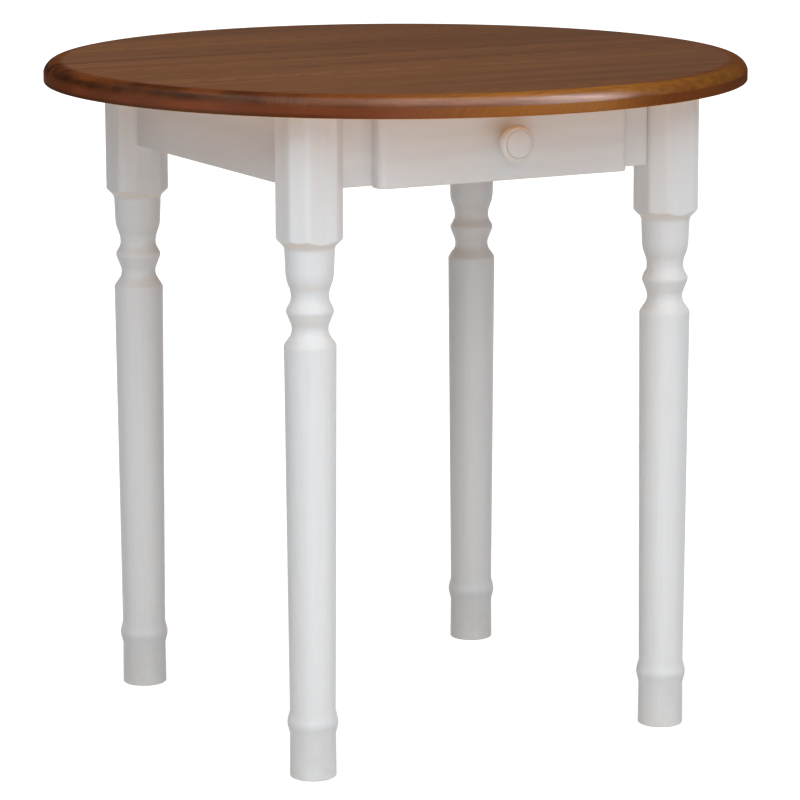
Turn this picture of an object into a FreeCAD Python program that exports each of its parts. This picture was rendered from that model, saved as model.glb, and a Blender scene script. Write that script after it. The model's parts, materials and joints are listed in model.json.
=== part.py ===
"""Round dining table with turned legs and one drawer.

Millimetres, +Z up. The origin is on the floor under the centre of the top, and the drawer faces -Y.
"""
import FreeCAD, Part
import os
import Sketcher

Vector = FreeCAD.Vector

# Driving sizes of the table, in millimetres
SIZES = {
    # Round top, glued up from boards and moulded on the rim
    "table_height": 760,
    "top_diameter": 800,
    "top_thickness": 24,
    "rim_drop": 12.5,
    "rim_run": 16,
    "rim_lower_ease": 1.5,
    # Leg blank: a square with chamfered corners, left square where the aprons meet it
    "leg_offset": 224,
    "leg_block": 65,
    "leg_chamfer": 15,
    "leg_arris": 8,
    "leg_block_length": 143,
    # Turned head of the leg, measured down from the foot of the square block
    "shoulder_fall": 9,
    "vase_diameter": 54.6,
    "vase_belly_fall": 31,
    "vase_belly_diameter": 52.8,
    "vase_waist_fall": 47.5,
    "vase_waist_rise": 2.3,
    "upper_neck_fall": 59,
    "upper_neck_diameter": 41.5,
    "upper_cove_fall": 66,
    "upper_cove_rise": 1.65,
    "ring_fall": 74.5,
    "ring_diameter": 52,
    "ring_crest": 5.4,
    "ring_ease": 0.5,
    "lower_cove_fall": 88,
    "lower_cove_rise": 1.3,
    "lower_neck_fall": 94.5,
    "lower_neck_diameter": 40,
    "cup_cove_fall": 103,
    "cup_cove_rise": 2.7,
    "shaft_edge_fall": 110.1,
    "shaft_ease": 0.9,
    "shaft_top_fall": 114,
    # Long taper and foot of the leg, measured up from the floor
    "shaft_top_diameter": 57,
    "shaft_low_diameter": 50.3,
    "foot_ring_height": 61.5,
    "foot_ring_span": 26,
    "foot_ring_diameter": 56,
    "foot_ring_crest": 9,
    "foot_ring_ease": 0.55,
    "foot_top_diameter": 50.6,
    "foot_diameter": 51.4,
    "foot_ease": 1.2,
    # Aprons between the legs, and the rails round the drawer opening
    "apron_height": 86,
    "apron_thickness": 20,
    "apron_setback": 19.5,
    "apron_ease": 2.5,
    "stile_corner": 4,
    "upper_rail_height": 19,
    "lower_rail_height": 14,
    # Corner blocks across the inside of each corner, and their hanger bolts
    "block_gap": 6,
    "block_thickness": 20,
    "block_height": 46,
    "bolt_drop": 24,
    "bolt_diameter": 8,
    "bolt_depth": 50,
    "bolt_tail": 4,
    "bolt_play": 0.1,
    "block_bore": 9,
    "washer_diameter": 24,
    "washer_thickness": 1.6,
    "nut_width": 13,
    "nut_height": 6.5,
    # Wood screws through the corner blocks and kickers
    "screw_diameter": 4.2,
    "screw_length": 24,
    "screw_grip": 10,
    "screw_head_diameter": 8,
    "screw_head_height": 3,
    "screw_play": 0.1,
    "counterbore_diameter": 10,
    "apron_screw_reach": 62,
    "top_screw_spread": 16,
    "kicker_screw_reach": 120,
    # Dowels between the pieces of the frame
    "dowel_diameter": 8,
    "dowel_length": 30,
    "dowel_play": 0.1,
    "dowel_end_play": 1,
    "dowel_low": 25,
    "dowel_high": 55,
    # Strips that carry and guide the drawer
    "guide_block_play": 2,
    "guide_thickness": 16,
    "runner_width": 20,
    "kicker_lap": 20,
    # Drawer box
    "drawer_side_play": 1,
    "drawer_slide_play": 0.3,
    "drawer_top_play": 2.7,
    "drawer_rear_space": 75,
    "drawer_side_thickness": 12,
    "drawer_bottom_rise": 5,
    "drawer_bottom_thickness": 4,
    "drawer_groove_depth": 5,
    "drawer_groove_play": 0.2,
    "drawer_dowel_diameter": 6,
    "drawer_dowel_length": 24,
    "drawer_dowel_inset": 12,
    # Overlay front of the drawer
    "front_width": 310,
    "front_thickness": 19,
    "front_gap": 0.5,
    "front_drop": 2,
    "front_top_play": 3,
    "front_end_round": 9,
    "front_ease": 2,
    # Turned knob
    "knob_diameter": 41,
    "knob_length": 29,
    "knob_base_diameter": 22,
    "knob_base_length": 2,
    "knob_neck_diameter": 18,
    "knob_neck_reach": 7,
    "knob_flare_diameter": 34,
    "knob_flare_reach": 16.5,
    "knob_crown_reach": 22,
    "knob_face_diameter": 32,
    "knob_face_reach": 27.4,
    "knob_groove": 0.6,
    "knob_screw_diameter": 4,
    "knob_screw_bite": 15,
    "knob_screw_play": 0.1,
}

# Edge-glued boards in the top
TOP_BOARDS = 8

LEFT, RIGHT = -1, 1
FRONT, BACK = -1, 1

# Each corner: name, side along X, side along Y, and the turn that points a leg's inner corner at the centre
CORNERS = [
    ("front_left", LEFT, FRONT, 0),
    ("front_right", RIGHT, FRONT, 90),
    ("back_right", RIGHT, BACK, 180),
    ("back_left", LEFT, BACK, 270),
]
SIDES = [("left", LEFT), ("right", RIGHT)]

# Heights and distances that follow from the driving sizes
UNDERSIDE = "(sizes.table_height - sizes.top_thickness)"
LEG_INNER = "(sizes.leg_offset - sizes.leg_block / 2)"
BLOCK_FOOT = f"({UNDERSIDE} - sizes.leg_block_length)"
APRON_OUT = "(sizes.leg_offset + sizes.leg_block / 2 - sizes.apron_setback)"
APRON_IN = f"({APRON_OUT} - sizes.apron_thickness)"
APRON_MID = f"({APRON_OUT} - sizes.apron_thickness / 2)"
APRON_LOW = f"({UNDERSIDE} - sizes.apron_height)"
OPENING_LOW = f"({APRON_LOW} + sizes.lower_rail_height)"
OPENING_TOP = f"({UNDERSIDE} - sizes.upper_rail_height)"

# Corner block seen from its leg's axis: its two faces along the diagonal, and its reach along the apron
LEG_CORNER = "((sizes.leg_block - sizes.leg_chamfer) / sqrt(2))"
BLOCK_NEAR = f"({LEG_CORNER} + sizes.block_gap)"
BLOCK_FAR = f"({BLOCK_NEAR} + sizes.block_thickness)"
BLOCK_WALL = f"(sizes.leg_offset - {APRON_IN})"
BLOCK_START = f"({BLOCK_NEAR} * sqrt(2) - {BLOCK_WALL})"
BLOCK_END = f"({BLOCK_FAR} * sqrt(2) - {BLOCK_WALL})"
BLOCK_MIDDLE = f"(({BLOCK_NEAR} + {BLOCK_FAR}) / 2)"
BOLT_HEIGHT = f"({UNDERSIDE} - sizes.bolt_drop)"

# Guides stand beside the corner blocks, and the drawer runs between the guides
GUIDE_OUT = f"(sizes.leg_offset - {BLOCK_END} - sizes.guide_block_play)"
OPENING_HALF = f"({GUIDE_OUT} - sizes.guide_thickness)"
GUIDE_MID = f"({GUIDE_OUT} - sizes.guide_thickness / 2)"
DRAWER_HALF = f"({OPENING_HALF} - sizes.drawer_side_play)"
DRAWER_INNER = f"({DRAWER_HALF} - sizes.drawer_side_thickness)"
DRAWER_LOW = f"({OPENING_LOW} + sizes.drawer_slide_play)"
DRAWER_TOP = f"({OPENING_TOP} - sizes.drawer_top_play)"
DRAWER_REAR = f"({APRON_IN} - sizes.drawer_rear_space)"
PANEL_LOW = f"({DRAWER_LOW} + sizes.drawer_bottom_rise)"
PANEL_TOP = f"({PANEL_LOW} + sizes.drawer_bottom_thickness)"

# Drawer front, which laps over the stiles
FRONT_BACK = f"({APRON_OUT} + sizes.front_gap)"
FRONT_FACE = f"({FRONT_BACK} + sizes.front_thickness)"
FRONT_LOW = f"({APRON_LOW} - sizes.front_drop)"
FRONT_HEIGHT = f"({UNDERSIDE} - sizes.front_top_play - {FRONT_LOW})"
KNOB_HEIGHT = f"({FRONT_LOW} + {FRONT_HEIGHT} / 2)"

doc = FreeCAD.newDocument("round_dining_table")
sheet = doc.addObject("Spreadsheet::Sheet", "sizes")
for row, (alias, millimetres) in enumerate(SIZES.items(), start=1):
    sheet.set(f"A{row}", alias)
    sheet.set(f"B{row}", str(millimetres))
    sheet.setAlias(f"B{row}", alias)
doc.recompute()

nodes = []


def value(expression):
    """Work out an expression of the sheet as a number."""
    return float(sheet.evalExpression(expression))


def keep(piece):
    """List a finished piece for export."""
    nodes.append(piece)
    return piece


def bind_place(piece, x, y, z):
    """Tie a piece's place to the sheet."""
    piece.setExpression("Placement.Base.x", x)
    piece.setExpression("Placement.Base.y", y)
    piece.setExpression("Placement.Base.z", z)


def box(name, x, y, z):
    """A block between a low and a high expression along each axis."""
    block = doc.addObject("Part::Box", name)
    block.setExpression("Length", f"{x[1]} - ({x[0]})")
    block.setExpression("Width", f"{y[1]} - ({y[0]})")
    block.setExpression("Height", f"{z[1]} - ({z[0]})")
    bind_place(block, x[0], y[0], z[0])
    return block


def rod(name, radius, length, start, direction):
    """A round rod that starts at a point and runs along a direction."""
    cylinder = doc.addObject("Part::Cylinder", name)
    cylinder.setExpression("Radius", radius)
    cylinder.setExpression("Height", length)
    cylinder.Placement = FreeCAD.Placement(Vector(), FreeCAD.Rotation(Vector(0, 0, 1), direction))
    bind_place(cylinder, *start)
    return cylinder


def group(name, solids):
    """Separate solids that share one node."""
    compound = doc.addObject("Part::Compound", name)
    compound.Links = solids
    return compound


def joined(name, solids):
    """Solids fused into one tool or piece."""
    fuse = doc.addObject("Part::MultiFuse", name)
    fuse.Shapes = solids
    return fuse


def drilled(name, blank, tools):
    """Cut each tool out of a blank in turn; the last cut carries the piece's name."""
    for count, tool in enumerate(tools, start=1):
        last = count == len(tools)
        cut = doc.addObject("Part::Cut", name if last else f"{name}_cut_{count}")
        cut.Base = blank
        cut.Tool = tool
        blank = cut
    return blank


def eased(name, blank, radius, wanted):
    """Round the edges of a blank that a test picks out."""
    doc.recompute()
    picked = [number for number, edge in enumerate(blank.Shape.Edges, start=1) if wanted(edge)]
    fillet = doc.addObject("Part::Fillet", name)
    fillet.Base = blank
    fillet.Edges = [(number, value(radius), value(radius)) for number in picked]
    return fillet


def mirrored(side, low, high):
    """A span on the right as given, or its mirror image on the left."""
    return (low, high) if side == RIGHT else (f"-({high})", f"-({low})")


def arc_centre(start, end, rule):
    """Centre of an arc whose tangent at one end is fixed by the rule, or whose radius is given."""
    run = end - start
    chord = run.Length
    if rule == "level_start":
        return start + Vector(chord ** 2 / (2 * run.x), 0, 0)
    if rule == "level_end":
        return end - Vector(chord ** 2 / (2 * run.x), 0, 0)
    if rule == "upright_end":
        return end - Vector(0, chord ** 2 / (2 * run.y), 0)
    rise = (rule[1] ** 2 - chord ** 2 / 4) ** 0.5
    return (start + end) / 2 + Vector(-run.y, run.x, 0) * (rise / chord)


def add_run(sketch, start, end, rule):
    """Add a line or arc; return its number and which of its points are the start and the end."""
    if rule == "line":
        return sketch.addGeometry(Part.LineSegment(start, end)), 1, 2
    centre = arc_centre(start, end, rule)
    circle = Part.Circle(centre, Vector(0, 0, 1), (start - centre).Length)
    forward = (start - centre).cross(end - centre).z > 0
    first, last = (start, end) if forward else (end, start)
    arc = Part.ArcOfCircle(circle, circle.parameter(first), circle.parameter(last))
    number = sketch.addGeometry(arc)
    return (number, 1, 2) if forward else (number, 2, 1)


def pin(sketch, kind, axis, geometry, point, expression):
    """Hold one coordinate of a point at an expression, or on the axis where it is zero."""
    if expression == "0":
        sketch.addConstraint(Sketcher.Constraint("PointOnObject", geometry, point, axis))
        return
    number = sketch.addConstraint(Sketcher.Constraint(kind, -1, 1, geometry, point, value(expression)))
    sketch.setExpression(f"Constraints[{number}]", expression)


def outline(body, name, plane, corners):
    """A closed sketch through corners (across, up, rule of the run that leaves the corner)."""
    sketch = body.newObject("Sketcher::SketchObject", name)
    support = [feature for feature in body.Origin.OriginFeatures if feature.Role == plane][0]
    sketch.AttachmentSupport = (support, [""])
    sketch.MapMode = "FlatFace"
    points = [Vector(value(across), value(up), 0) for across, up, rule in corners]
    runs = []
    for number, (across, up, rule) in enumerate(corners):
        shape = ("radius", value(rule[1])) if isinstance(rule, tuple) else rule
        runs.append(add_run(sketch, points[number], points[(number + 1) % len(points)], shape))
    for number, (across, up, rule) in enumerate(corners):
        geometry, first, last = runs[number]
        following, next_first, _ = runs[(number + 1) % len(runs)]
        sketch.addConstraint(Sketcher.Constraint("Coincident", geometry, last, following, next_first))
        pin(sketch, "DistanceX", -2, geometry, first, across)
        pin(sketch, "DistanceY", -1, geometry, first, up)
        if rule == "level_start":
            sketch.addConstraint(Sketcher.Constraint("Horizontal", geometry, 3, geometry, first))
        if rule == "level_end":
            sketch.addConstraint(Sketcher.Constraint("Horizontal", geometry, 3, geometry, last))
        if rule == "upright_end":
            sketch.addConstraint(Sketcher.Constraint("Vertical", geometry, 3, geometry, last))
        if isinstance(rule, tuple):
            held = sketch.addConstraint(Sketcher.Constraint("Radius", geometry, value(rule[1])))
            sketch.setExpression(f"Constraints[{held}]", rule[1])
    return sketch


def pad(body, name, sketch, height):
    """Raise a sketch to a height."""
    feature = body.newObject("PartDesign::Pad", name)
    feature.Profile = sketch
    feature.setExpression("Length", height)
    return feature


def turn(body, kind, name, sketch):
    """Revolve or groove a sketch a full turn about its upright axis."""
    feature = body.newObject(kind, name)
    feature.Profile = sketch
    feature.ReferenceAxis = (sketch, ["V_Axis"])
    feature.Angle = 360
    return feature


def crest(height, ease):
    """Radius of a rounded crest of a given height that stands proud by its ease."""
    return f"(({height} / 2)^2 + {ease}^2) / (2 * {ease})"


def head_level(name):
    """Height of a turned feature that is measured down from the square block."""
    return f"({BLOCK_FOOT} - sizes.{name})"


def waste_round_the_leg():
    """Outline of the wood that the lathe takes away, from the floor up the profile and back outside."""
    foot_ring_half = "sizes.foot_ring_span / 2"
    foot_ring_edge = "sizes.foot_ring_diameter / 2 - sizes.foot_ring_ease"
    ring_edge = "sizes.ring_diameter / 2 - sizes.ring_ease"
    upper_neck = "sizes.upper_neck_diameter / 2"
    lower_neck = "sizes.lower_neck_diameter / 2"
    vase = "sizes.vase_diameter / 2"
    shoulder = f"(({vase} - sizes.leg_block / 2 + sizes.shoulder_fall) / (sqrt(2) - 1))"
    shoulder_across = f"({vase} + {shoulder} * (1 - 1 / sqrt(2)))"
    shoulder_level = f"({head_level('shoulder_fall')} + {shoulder} / sqrt(2))"
    outside = "sizes.leg_block"
    return [
        ("sizes.foot_diameter / 2 - sizes.foot_ease", "0", "line"),
        ("sizes.foot_diameter / 2", "sizes.foot_ease", "line"),
        ("sizes.foot_top_diameter / 2", f"sizes.foot_ring_height - {foot_ring_half}", "line"),
        (foot_ring_edge, "sizes.foot_ring_height - sizes.foot_ring_crest / 2",
         ("radius", crest("sizes.foot_ring_crest", "sizes.foot_ring_ease"))),
        (foot_ring_edge, "sizes.foot_ring_height + sizes.foot_ring_crest / 2", "line"),
        ("sizes.shaft_low_diameter / 2", f"sizes.foot_ring_height + {foot_ring_half}", "line"),
        ("sizes.shaft_top_diameter / 2", head_level("shaft_top_fall"), "level_start"),
        ("sizes.shaft_top_diameter / 2 - sizes.shaft_ease", head_level("shaft_edge_fall"), "line"),
        (f"{lower_neck} + sizes.cup_cove_rise", head_level("cup_cove_fall"), "level_end"),
        (lower_neck, head_level("lower_neck_fall"), "level_start"),
        (f"{lower_neck} + sizes.lower_cove_rise", head_level("lower_cove_fall"), "line"),
        (ring_edge, f"{head_level('ring_fall')} - sizes.ring_crest / 2",
         ("radius", crest("sizes.ring_crest", "sizes.ring_ease"))),
        (ring_edge, f"{head_level('ring_fall')} + sizes.ring_crest / 2", "line"),
        (f"{upper_neck} + sizes.upper_cove_rise", head_level("upper_cove_fall"), "level_end"),
        (upper_neck, head_level("upper_neck_fall"), "level_start"),
        (f"{upper_neck} + sizes.vase_waist_rise", head_level("vase_waist_fall"), "level_end"),
        ("sizes.vase_belly_diameter / 2", head_level("vase_belly_fall"), "line"),
        (vase, head_level("shoulder_fall"), "level_start"),
        (shoulder_across, shoulder_level, "line"),
        (outside, f"{shoulder_level} + {outside} - {shoulder_across}", "line"),
        (outside, "0", "line"),
    ]


def leg(corner, side_x, side_y, turned, tools):
    """A leg turned from a chamfered square blank, with its dowel and bolt holes."""
    name = f"leg_{corner}"
    body = doc.addObject("PartDesign::Body", f"{name}_turned")
    half = "sizes.leg_block / 2"
    flat = "(sizes.leg_block / 2 - sizes.leg_chamfer)"
    trim = "(sizes.leg_arris * (sqrt(2) - 1))"
    near, wide = f"({flat} - {trim})", f"({flat} + {trim} / sqrt(2))"
    high = f"({half} - {trim} / sqrt(2))"
    arris = ("radius", "sizes.leg_arris")
    quarter = [(half, near, arris), (high, wide, "line"), (wide, high, arris), (near, half, "line")]
    octagon = []
    for corner_turn in range(4):
        octagon += quarter
        quarter = [(f"-({up})", across, rule) for across, up, rule in quarter]
    pad(body, f"{name}_blank", outline(body, f"{name}_square", "XY_Plane", octagon), UNDERSIDE)
    waste = outline(body, f"{name}_profile", "XZ_Plane", waste_round_the_leg())
    turn(body, "PartDesign::Groove", f"{name}_turning", waste)
    body.Placement = FreeCAD.Placement(Vector(), FreeCAD.Rotation(Vector(0, 0, 1), turned))
    bind_place(body, f"{side_x} * sizes.leg_offset", f"{side_y} * sizes.leg_offset", "0")
    keep(drilled(name, body, tools))


def table_top(screw_holes):
    """The moulded round top, cut into the boards it is glued up from."""
    body = doc.addObject("PartDesign::Body", "top_disc")
    radius = "sizes.top_diameter / 2"
    rim = [
        ("0", UNDERSIDE, "line"),
        (f"{radius} - sizes.rim_lower_ease", UNDERSIDE, "line"),
        (radius, f"{UNDERSIDE} + sizes.rim_lower_ease", "line"),
        (radius, "sizes.table_height - sizes.rim_drop", "upright_end"),
        (f"{radius} - sizes.rim_run", "sizes.table_height", "line"),
        ("0", "sizes.table_height", "line"),
    ]
    turn(body, "PartDesign::Revolution", "top_turning", outline(body, "rim", "XZ_Plane", rim))
    board_width = f"sizes.top_diameter / {TOP_BOARDS}"
    across = (f"-{radius}", radius)
    thick = (UNDERSIDE, "sizes.table_height")
    for number in range(1, TOP_BOARDS + 1):
        near = f"(-{radius} + {number - 1} * {board_width})"
        strip = box(f"top_strip_{number}", across, (near, f"{near} + {board_width}"), thick)
        board = doc.addObject("Part::Common", f"top_board_{number}_blank")
        board.Base = body
        board.Tool = strip
        keep(drilled(f"top_board_{number}", board, [screw_holes]))


def low_edge(edge):
    """Whether an edge runs level along the foot of an apron."""
    level = value(APRON_LOW)
    flat = all(abs(vertex.Z - level) < 0.01 for vertex in edge.Vertexes)
    return flat and edge.Length > value("sizes.apron_thickness * 1.5")


def leg_corner(edge):
    """Whether an edge is the low corner of a stile next to its leg."""
    level, reach = value(APRON_LOW), value(LEG_INNER)
    return all(abs(vertex.Z - level) < 0.01 and abs(abs(vertex.X) - reach) < 0.01 for vertex in edge.Vertexes)


def aprons(tools):
    """Side and back aprons, and the stiles and rails round the drawer opening."""
    between = (f"-{LEG_INNER}", LEG_INNER)
    height = (APRON_LOW, UNDERSIDE)
    front = (f"-{APRON_OUT}", f"-{APRON_IN}")
    blanks = {
        "apron_left": box("apron_left_board", mirrored(LEFT, APRON_IN, APRON_OUT), between, height),
        "apron_right": box("apron_right_board", (APRON_IN, APRON_OUT), between, height),
        "apron_back": box("apron_back_board", between, (APRON_IN, APRON_OUT), height),
    }
    for word, side in SIDES:
        stile = f"front_stile_{word}"
        board = box(f"{stile}_board", mirrored(side, OPENING_HALF, LEG_INNER), front, height)
        blanks[stile] = eased(f"{stile}_corner", board, "sizes.stile_corner", leg_corner)
    for name, blank in blanks.items():
        keep(drilled(name, eased(f"{name}_eased", blank, "sizes.apron_ease", low_edge), tools))
    opening = (f"-{OPENING_HALF}", OPENING_HALF)
    for name, span in (("front_rail_top", (OPENING_TOP, UNDERSIDE)),
                       ("front_rail_bottom", (APRON_LOW, OPENING_LOW))):
        keep(drilled(name, box(f"{name}_board", opening, front, span), tools))


def corner_blocks(tools):
    """A diagonal block across the inside of each corner."""
    plan = [
        (BLOCK_START, BLOCK_WALL, "line"),
        (BLOCK_END, BLOCK_WALL, "line"),
        (BLOCK_WALL, BLOCK_END, "line"),
        (BLOCK_WALL, BLOCK_START, "line"),
    ]
    for corner, side_x, side_y, turned in CORNERS:
        name = f"corner_block_{corner}"
        body = doc.addObject("PartDesign::Body", f"{name}_sawn")
        pad(body, f"{name}_blank", outline(body, f"{name}_plan", "XY_Plane", plan), "sizes.block_height")
        body.Placement = FreeCAD.Placement(Vector(), FreeCAD.Rotation(Vector(0, 0, 1), turned))
        bind_place(body, f"{side_x} * sizes.leg_offset", f"{side_y} * sizes.leg_offset",
                   f"{UNDERSIDE} - sizes.block_height")
        keep(drilled(name, body, tools))


def on_diagonal(side_x, side_y, distance):
    """A point at the bolts' height, a distance from a leg's axis towards the centre of the table."""
    inset = f"(sizes.leg_offset - ({distance}) / sqrt(2))"
    return f"{side_x} * {inset}", f"{side_y} * {inset}", BOLT_HEIGHT


def hanger_bolts():
    """Bolts, washers and nuts that draw the legs to the corner blocks; return the holes they need."""
    start = f"{LEG_CORNER} - sizes.bolt_depth"
    washer_far = f"{BLOCK_FAR} + sizes.washer_thickness"
    bolt_end = f"({washer_far} + sizes.nut_height + sizes.bolt_tail)"
    bolt = "sizes.bolt_diameter / 2"
    bolts, washers, nuts, leg_holes, block_holes = [], [], [], [], []
    for corner, side_x, side_y, turned in CORNERS:
        inward = Vector(-side_x, -side_y, 0)
        foot = on_diagonal(side_x, side_y, start)
        length = f"{bolt_end} - ({start})"
        bolts.append(rod(f"hanger_bolt_{corner}", bolt, length, foot, inward))
        leg_holes.append(rod(f"bolt_hole_{corner}", f"{bolt} + sizes.bolt_play", length, foot, inward))
        block_holes.append(rod(f"block_bore_{corner}", "sizes.block_bore / 2", length, foot, inward))
        seat = on_diagonal(side_x, side_y, BLOCK_FAR)
        disc = rod(f"washer_disc_{corner}", "sizes.washer_diameter / 2", "sizes.washer_thickness", seat, inward)
        washers.append(drilled(f"washer_{corner}", disc, [leg_holes[-1]]))
        hexagon = doc.addObject("Part::Prism", f"nut_hexagon_{corner}")
        hexagon.Polygon = 6
        hexagon.setExpression("Circumradius", "sizes.nut_width / sqrt(3)")
        hexagon.setExpression("Height", "sizes.nut_height")
        hexagon.Placement = FreeCAD.Placement(Vector(), FreeCAD.Rotation(Vector(0, 0, 1), inward))
        bind_place(hexagon, *on_diagonal(side_x, side_y, washer_far))
        nuts.append(drilled(f"nut_{corner}", hexagon, [leg_holes[-1]]))
    keep(group("hanger_bolts", bolts))
    keep(group("bolt_washers", washers))
    keep(group("bolt_nuts", nuts))
    return joined("leg_bolt_holes", leg_holes), joined("block_bolt_holes", block_holes)


def shifted(point, direction, distance):
    """A point moved along an axis direction by an expression."""
    steps = zip(point, (direction.x, direction.y, direction.z))
    return tuple(f"{place} + ({step}) * ({distance})" if step else place for place, step in steps)


def wood_screw(name, seat, direction):
    """A screw whose head seats at a point and drives along a direction; return it and its stepped hole."""
    shank = "sizes.screw_diameter / 2"
    back = direction * -1
    head = rod(f"{name}_head", "sizes.screw_head_diameter / 2", "sizes.screw_head_height", seat, back)
    body = rod(f"{name}_shank", shank, "sizes.screw_length", seat, direction)
    pilot = rod(f"{name}_pilot", f"{shank} + sizes.screw_play", "sizes.screw_length", seat, direction)
    bore = rod(f"{name}_bore", "sizes.counterbore_diameter / 2", "sizes.block_height", seat, back)
    return joined(name, [head, body]), joined(f"{name}_hole", [pilot, bore])


def block_screws():
    """Screws from the corner blocks into the aprons; return their holes."""
    seat = f"({APRON_IN} - sizes.screw_grip)"
    along = "(sizes.leg_offset - sizes.apron_screw_reach)"
    screws = []
    for corner, side_x, side_y, turned in CORNERS:
        to_front = (f"{side_x} * {along}", f"{side_y} * {seat}", BOLT_HEIGHT)
        to_side = (f"{side_x} * {seat}", f"{side_y} * {along}", BOLT_HEIGHT)
        screws.append(wood_screw(f"block_screw_{corner}_y", to_front, Vector(0, side_y, 0)))
        screws.append(wood_screw(f"block_screw_{corner}_x", to_side, Vector(side_x, 0, 0)))
    keep(group("corner_block_screws", [screw for screw, hole in screws]))
    return joined("block_screw_holes", [hole for screw, hole in screws])


def top_screws():
    """Screws from the corner blocks and kickers up into the top; return their holes."""
    level = f"{UNDERSIDE} - sizes.screw_grip"
    up = Vector(0, 0, 1)
    screws = []
    for corner, side_x, side_y, turned in CORNERS:
        for word, spread in (("a", 1), ("b", -1)):
            middle = f"sizes.leg_offset - {BLOCK_MIDDLE} / sqrt(2)"
            shift = f"{spread} * sizes.top_screw_spread / sqrt(2)"
            seat = (f"{side_x} * ({middle} + {shift})", f"{side_y} * ({middle} - {shift})", level)
            screws.append(wood_screw(f"top_screw_{corner}_{word}", seat, up))
    for word, side in SIDES:
        for end, reach in (("front", FRONT), ("back", BACK)):
            seat = (f"{side} * {GUIDE_MID}", f"{reach} * sizes.kicker_screw_reach", level)
            screws.append(wood_screw(f"kicker_screw_{word}_{end}", seat, up))
    keep(group("top_screws", [screw for screw, hole in screws]))
    return joined("top_screw_holes", [hole for screw, hole in screws])


def dowel_places():
    """Middle and direction of each dowel of the frame."""
    levels = [f"{APRON_LOW} + sizes.dowel_low", f"{APRON_LOW} + sizes.dowel_high"]
    along_x, along_y = Vector(1, 0, 0), Vector(0, 1, 0)
    rail_levels = [f"{OPENING_TOP} + sizes.upper_rail_height / 2", f"{APRON_LOW} + sizes.lower_rail_height / 2"]
    places = []
    for corner, side_x, side_y, turned in CORNERS:
        for level in levels:
            places.append(((f"{side_x} * {LEG_INNER}", f"{side_y} * {APRON_MID}", level), along_x))
            places.append(((f"{side_x} * {APRON_MID}", f"{side_y} * {LEG_INNER}", level), along_y))
            places.append(((f"{side_x} * {GUIDE_MID}", f"{side_y} * {APRON_IN}", level), along_y))
    for word, side in SIDES:
        for level in rail_levels:
            places.append(((f"{side} * {OPENING_HALF}", f"-{APRON_MID}", level), along_x))
    return places


def frame_dowels():
    """Dowels between legs, aprons, rails and guides; return their holes."""
    radius = "sizes.dowel_diameter / 2"
    hole_length = "(sizes.dowel_length + 2 * sizes.dowel_end_play)"
    pegs, holes = [], []
    for number, (middle, direction) in enumerate(dowel_places(), start=1):
        peg_start = shifted(middle, direction, "-sizes.dowel_length / 2")
        hole_start = shifted(middle, direction, f"-{hole_length} / 2")
        pegs.append(rod(f"dowel_{number}", radius, "sizes.dowel_length", peg_start, direction))
        holes.append(rod(f"dowel_hole_{number}", f"{radius} + sizes.dowel_play", hole_length, hole_start, direction))
    keep(group("frame_dowels", pegs))
    return joined("frame_dowel_holes", holes)


def drawer_way(dowel_holes, screw_holes):
    """On each side a guide beside the drawer, a runner under it and a kicker over it."""
    length = (f"-{APRON_IN}", APRON_IN)
    for word, side in SIDES:
        guide = box(f"drawer_guide_{word}_strip", mirrored(side, OPENING_HALF, GUIDE_OUT), length,
                    (APRON_LOW, OPENING_TOP))
        keep(drilled(f"drawer_guide_{word}", guide, [dowel_holes, screw_holes]))
        under = mirrored(side, f"{OPENING_HALF} - sizes.runner_width", OPENING_HALF)
        keep(box(f"drawer_runner_{word}", under, length, (APRON_LOW, OPENING_LOW)))
        over = mirrored(side, f"{OPENING_HALF} - sizes.kicker_lap", GUIDE_OUT)
        kicker = box(f"drawer_kicker_{word}_strip", over, length, (OPENING_TOP, UNDERSIDE))
        keep(drilled(f"drawer_kicker_{word}", kicker, [dowel_holes, screw_holes]))


def drawer_dowels():
    """Dowels from the drawer's sides into its front and back; return their holes."""
    radius = "sizes.drawer_dowel_diameter / 2"
    hole_radius = f"{radius} + sizes.dowel_play"
    length = "sizes.drawer_dowel_length"
    hole_length = f"({length} + 2 * sizes.dowel_end_play)"
    side_mid = f"({DRAWER_HALF} - sizes.drawer_side_thickness / 2)"
    back_mid = f"{DRAWER_REAR} - sizes.drawer_side_thickness / 2"
    forward = Vector(0, -1, 0)
    pegs, holes = [], []
    for word, side in SIDES:
        inward = Vector(-side, 0, 0)
        for end, level in (("low", f"{PANEL_TOP} + sizes.drawer_dowel_inset"),
                           ("high", f"{DRAWER_TOP} - sizes.drawer_dowel_inset")):
            name = f"{word}_{end}"
            front = (f"{side} * {side_mid}", f"-{FRONT_BACK}", level)
            peg_start = shifted(front, forward, f"-{length} / 2")
            hole_start = shifted(front, forward, f"-{hole_length} / 2")
            pegs.append(rod(f"front_peg_{name}", radius, length, peg_start, forward))
            holes.append(rod(f"front_peg_hole_{name}", hole_radius, hole_length, hole_start, forward))
            outer = (f"{side} * {DRAWER_HALF}", back_mid, level)
            hole_outer = shifted(outer, inward, "-sizes.dowel_end_play")
            pegs.append(rod(f"back_peg_{name}", radius, length, outer, inward))
            holes.append(rod(f"back_peg_hole_{name}", hole_radius, hole_length, hole_outer, inward))
    keep(group("drawer_dowels", pegs))
    return joined("drawer_dowel_holes", holes)


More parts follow.
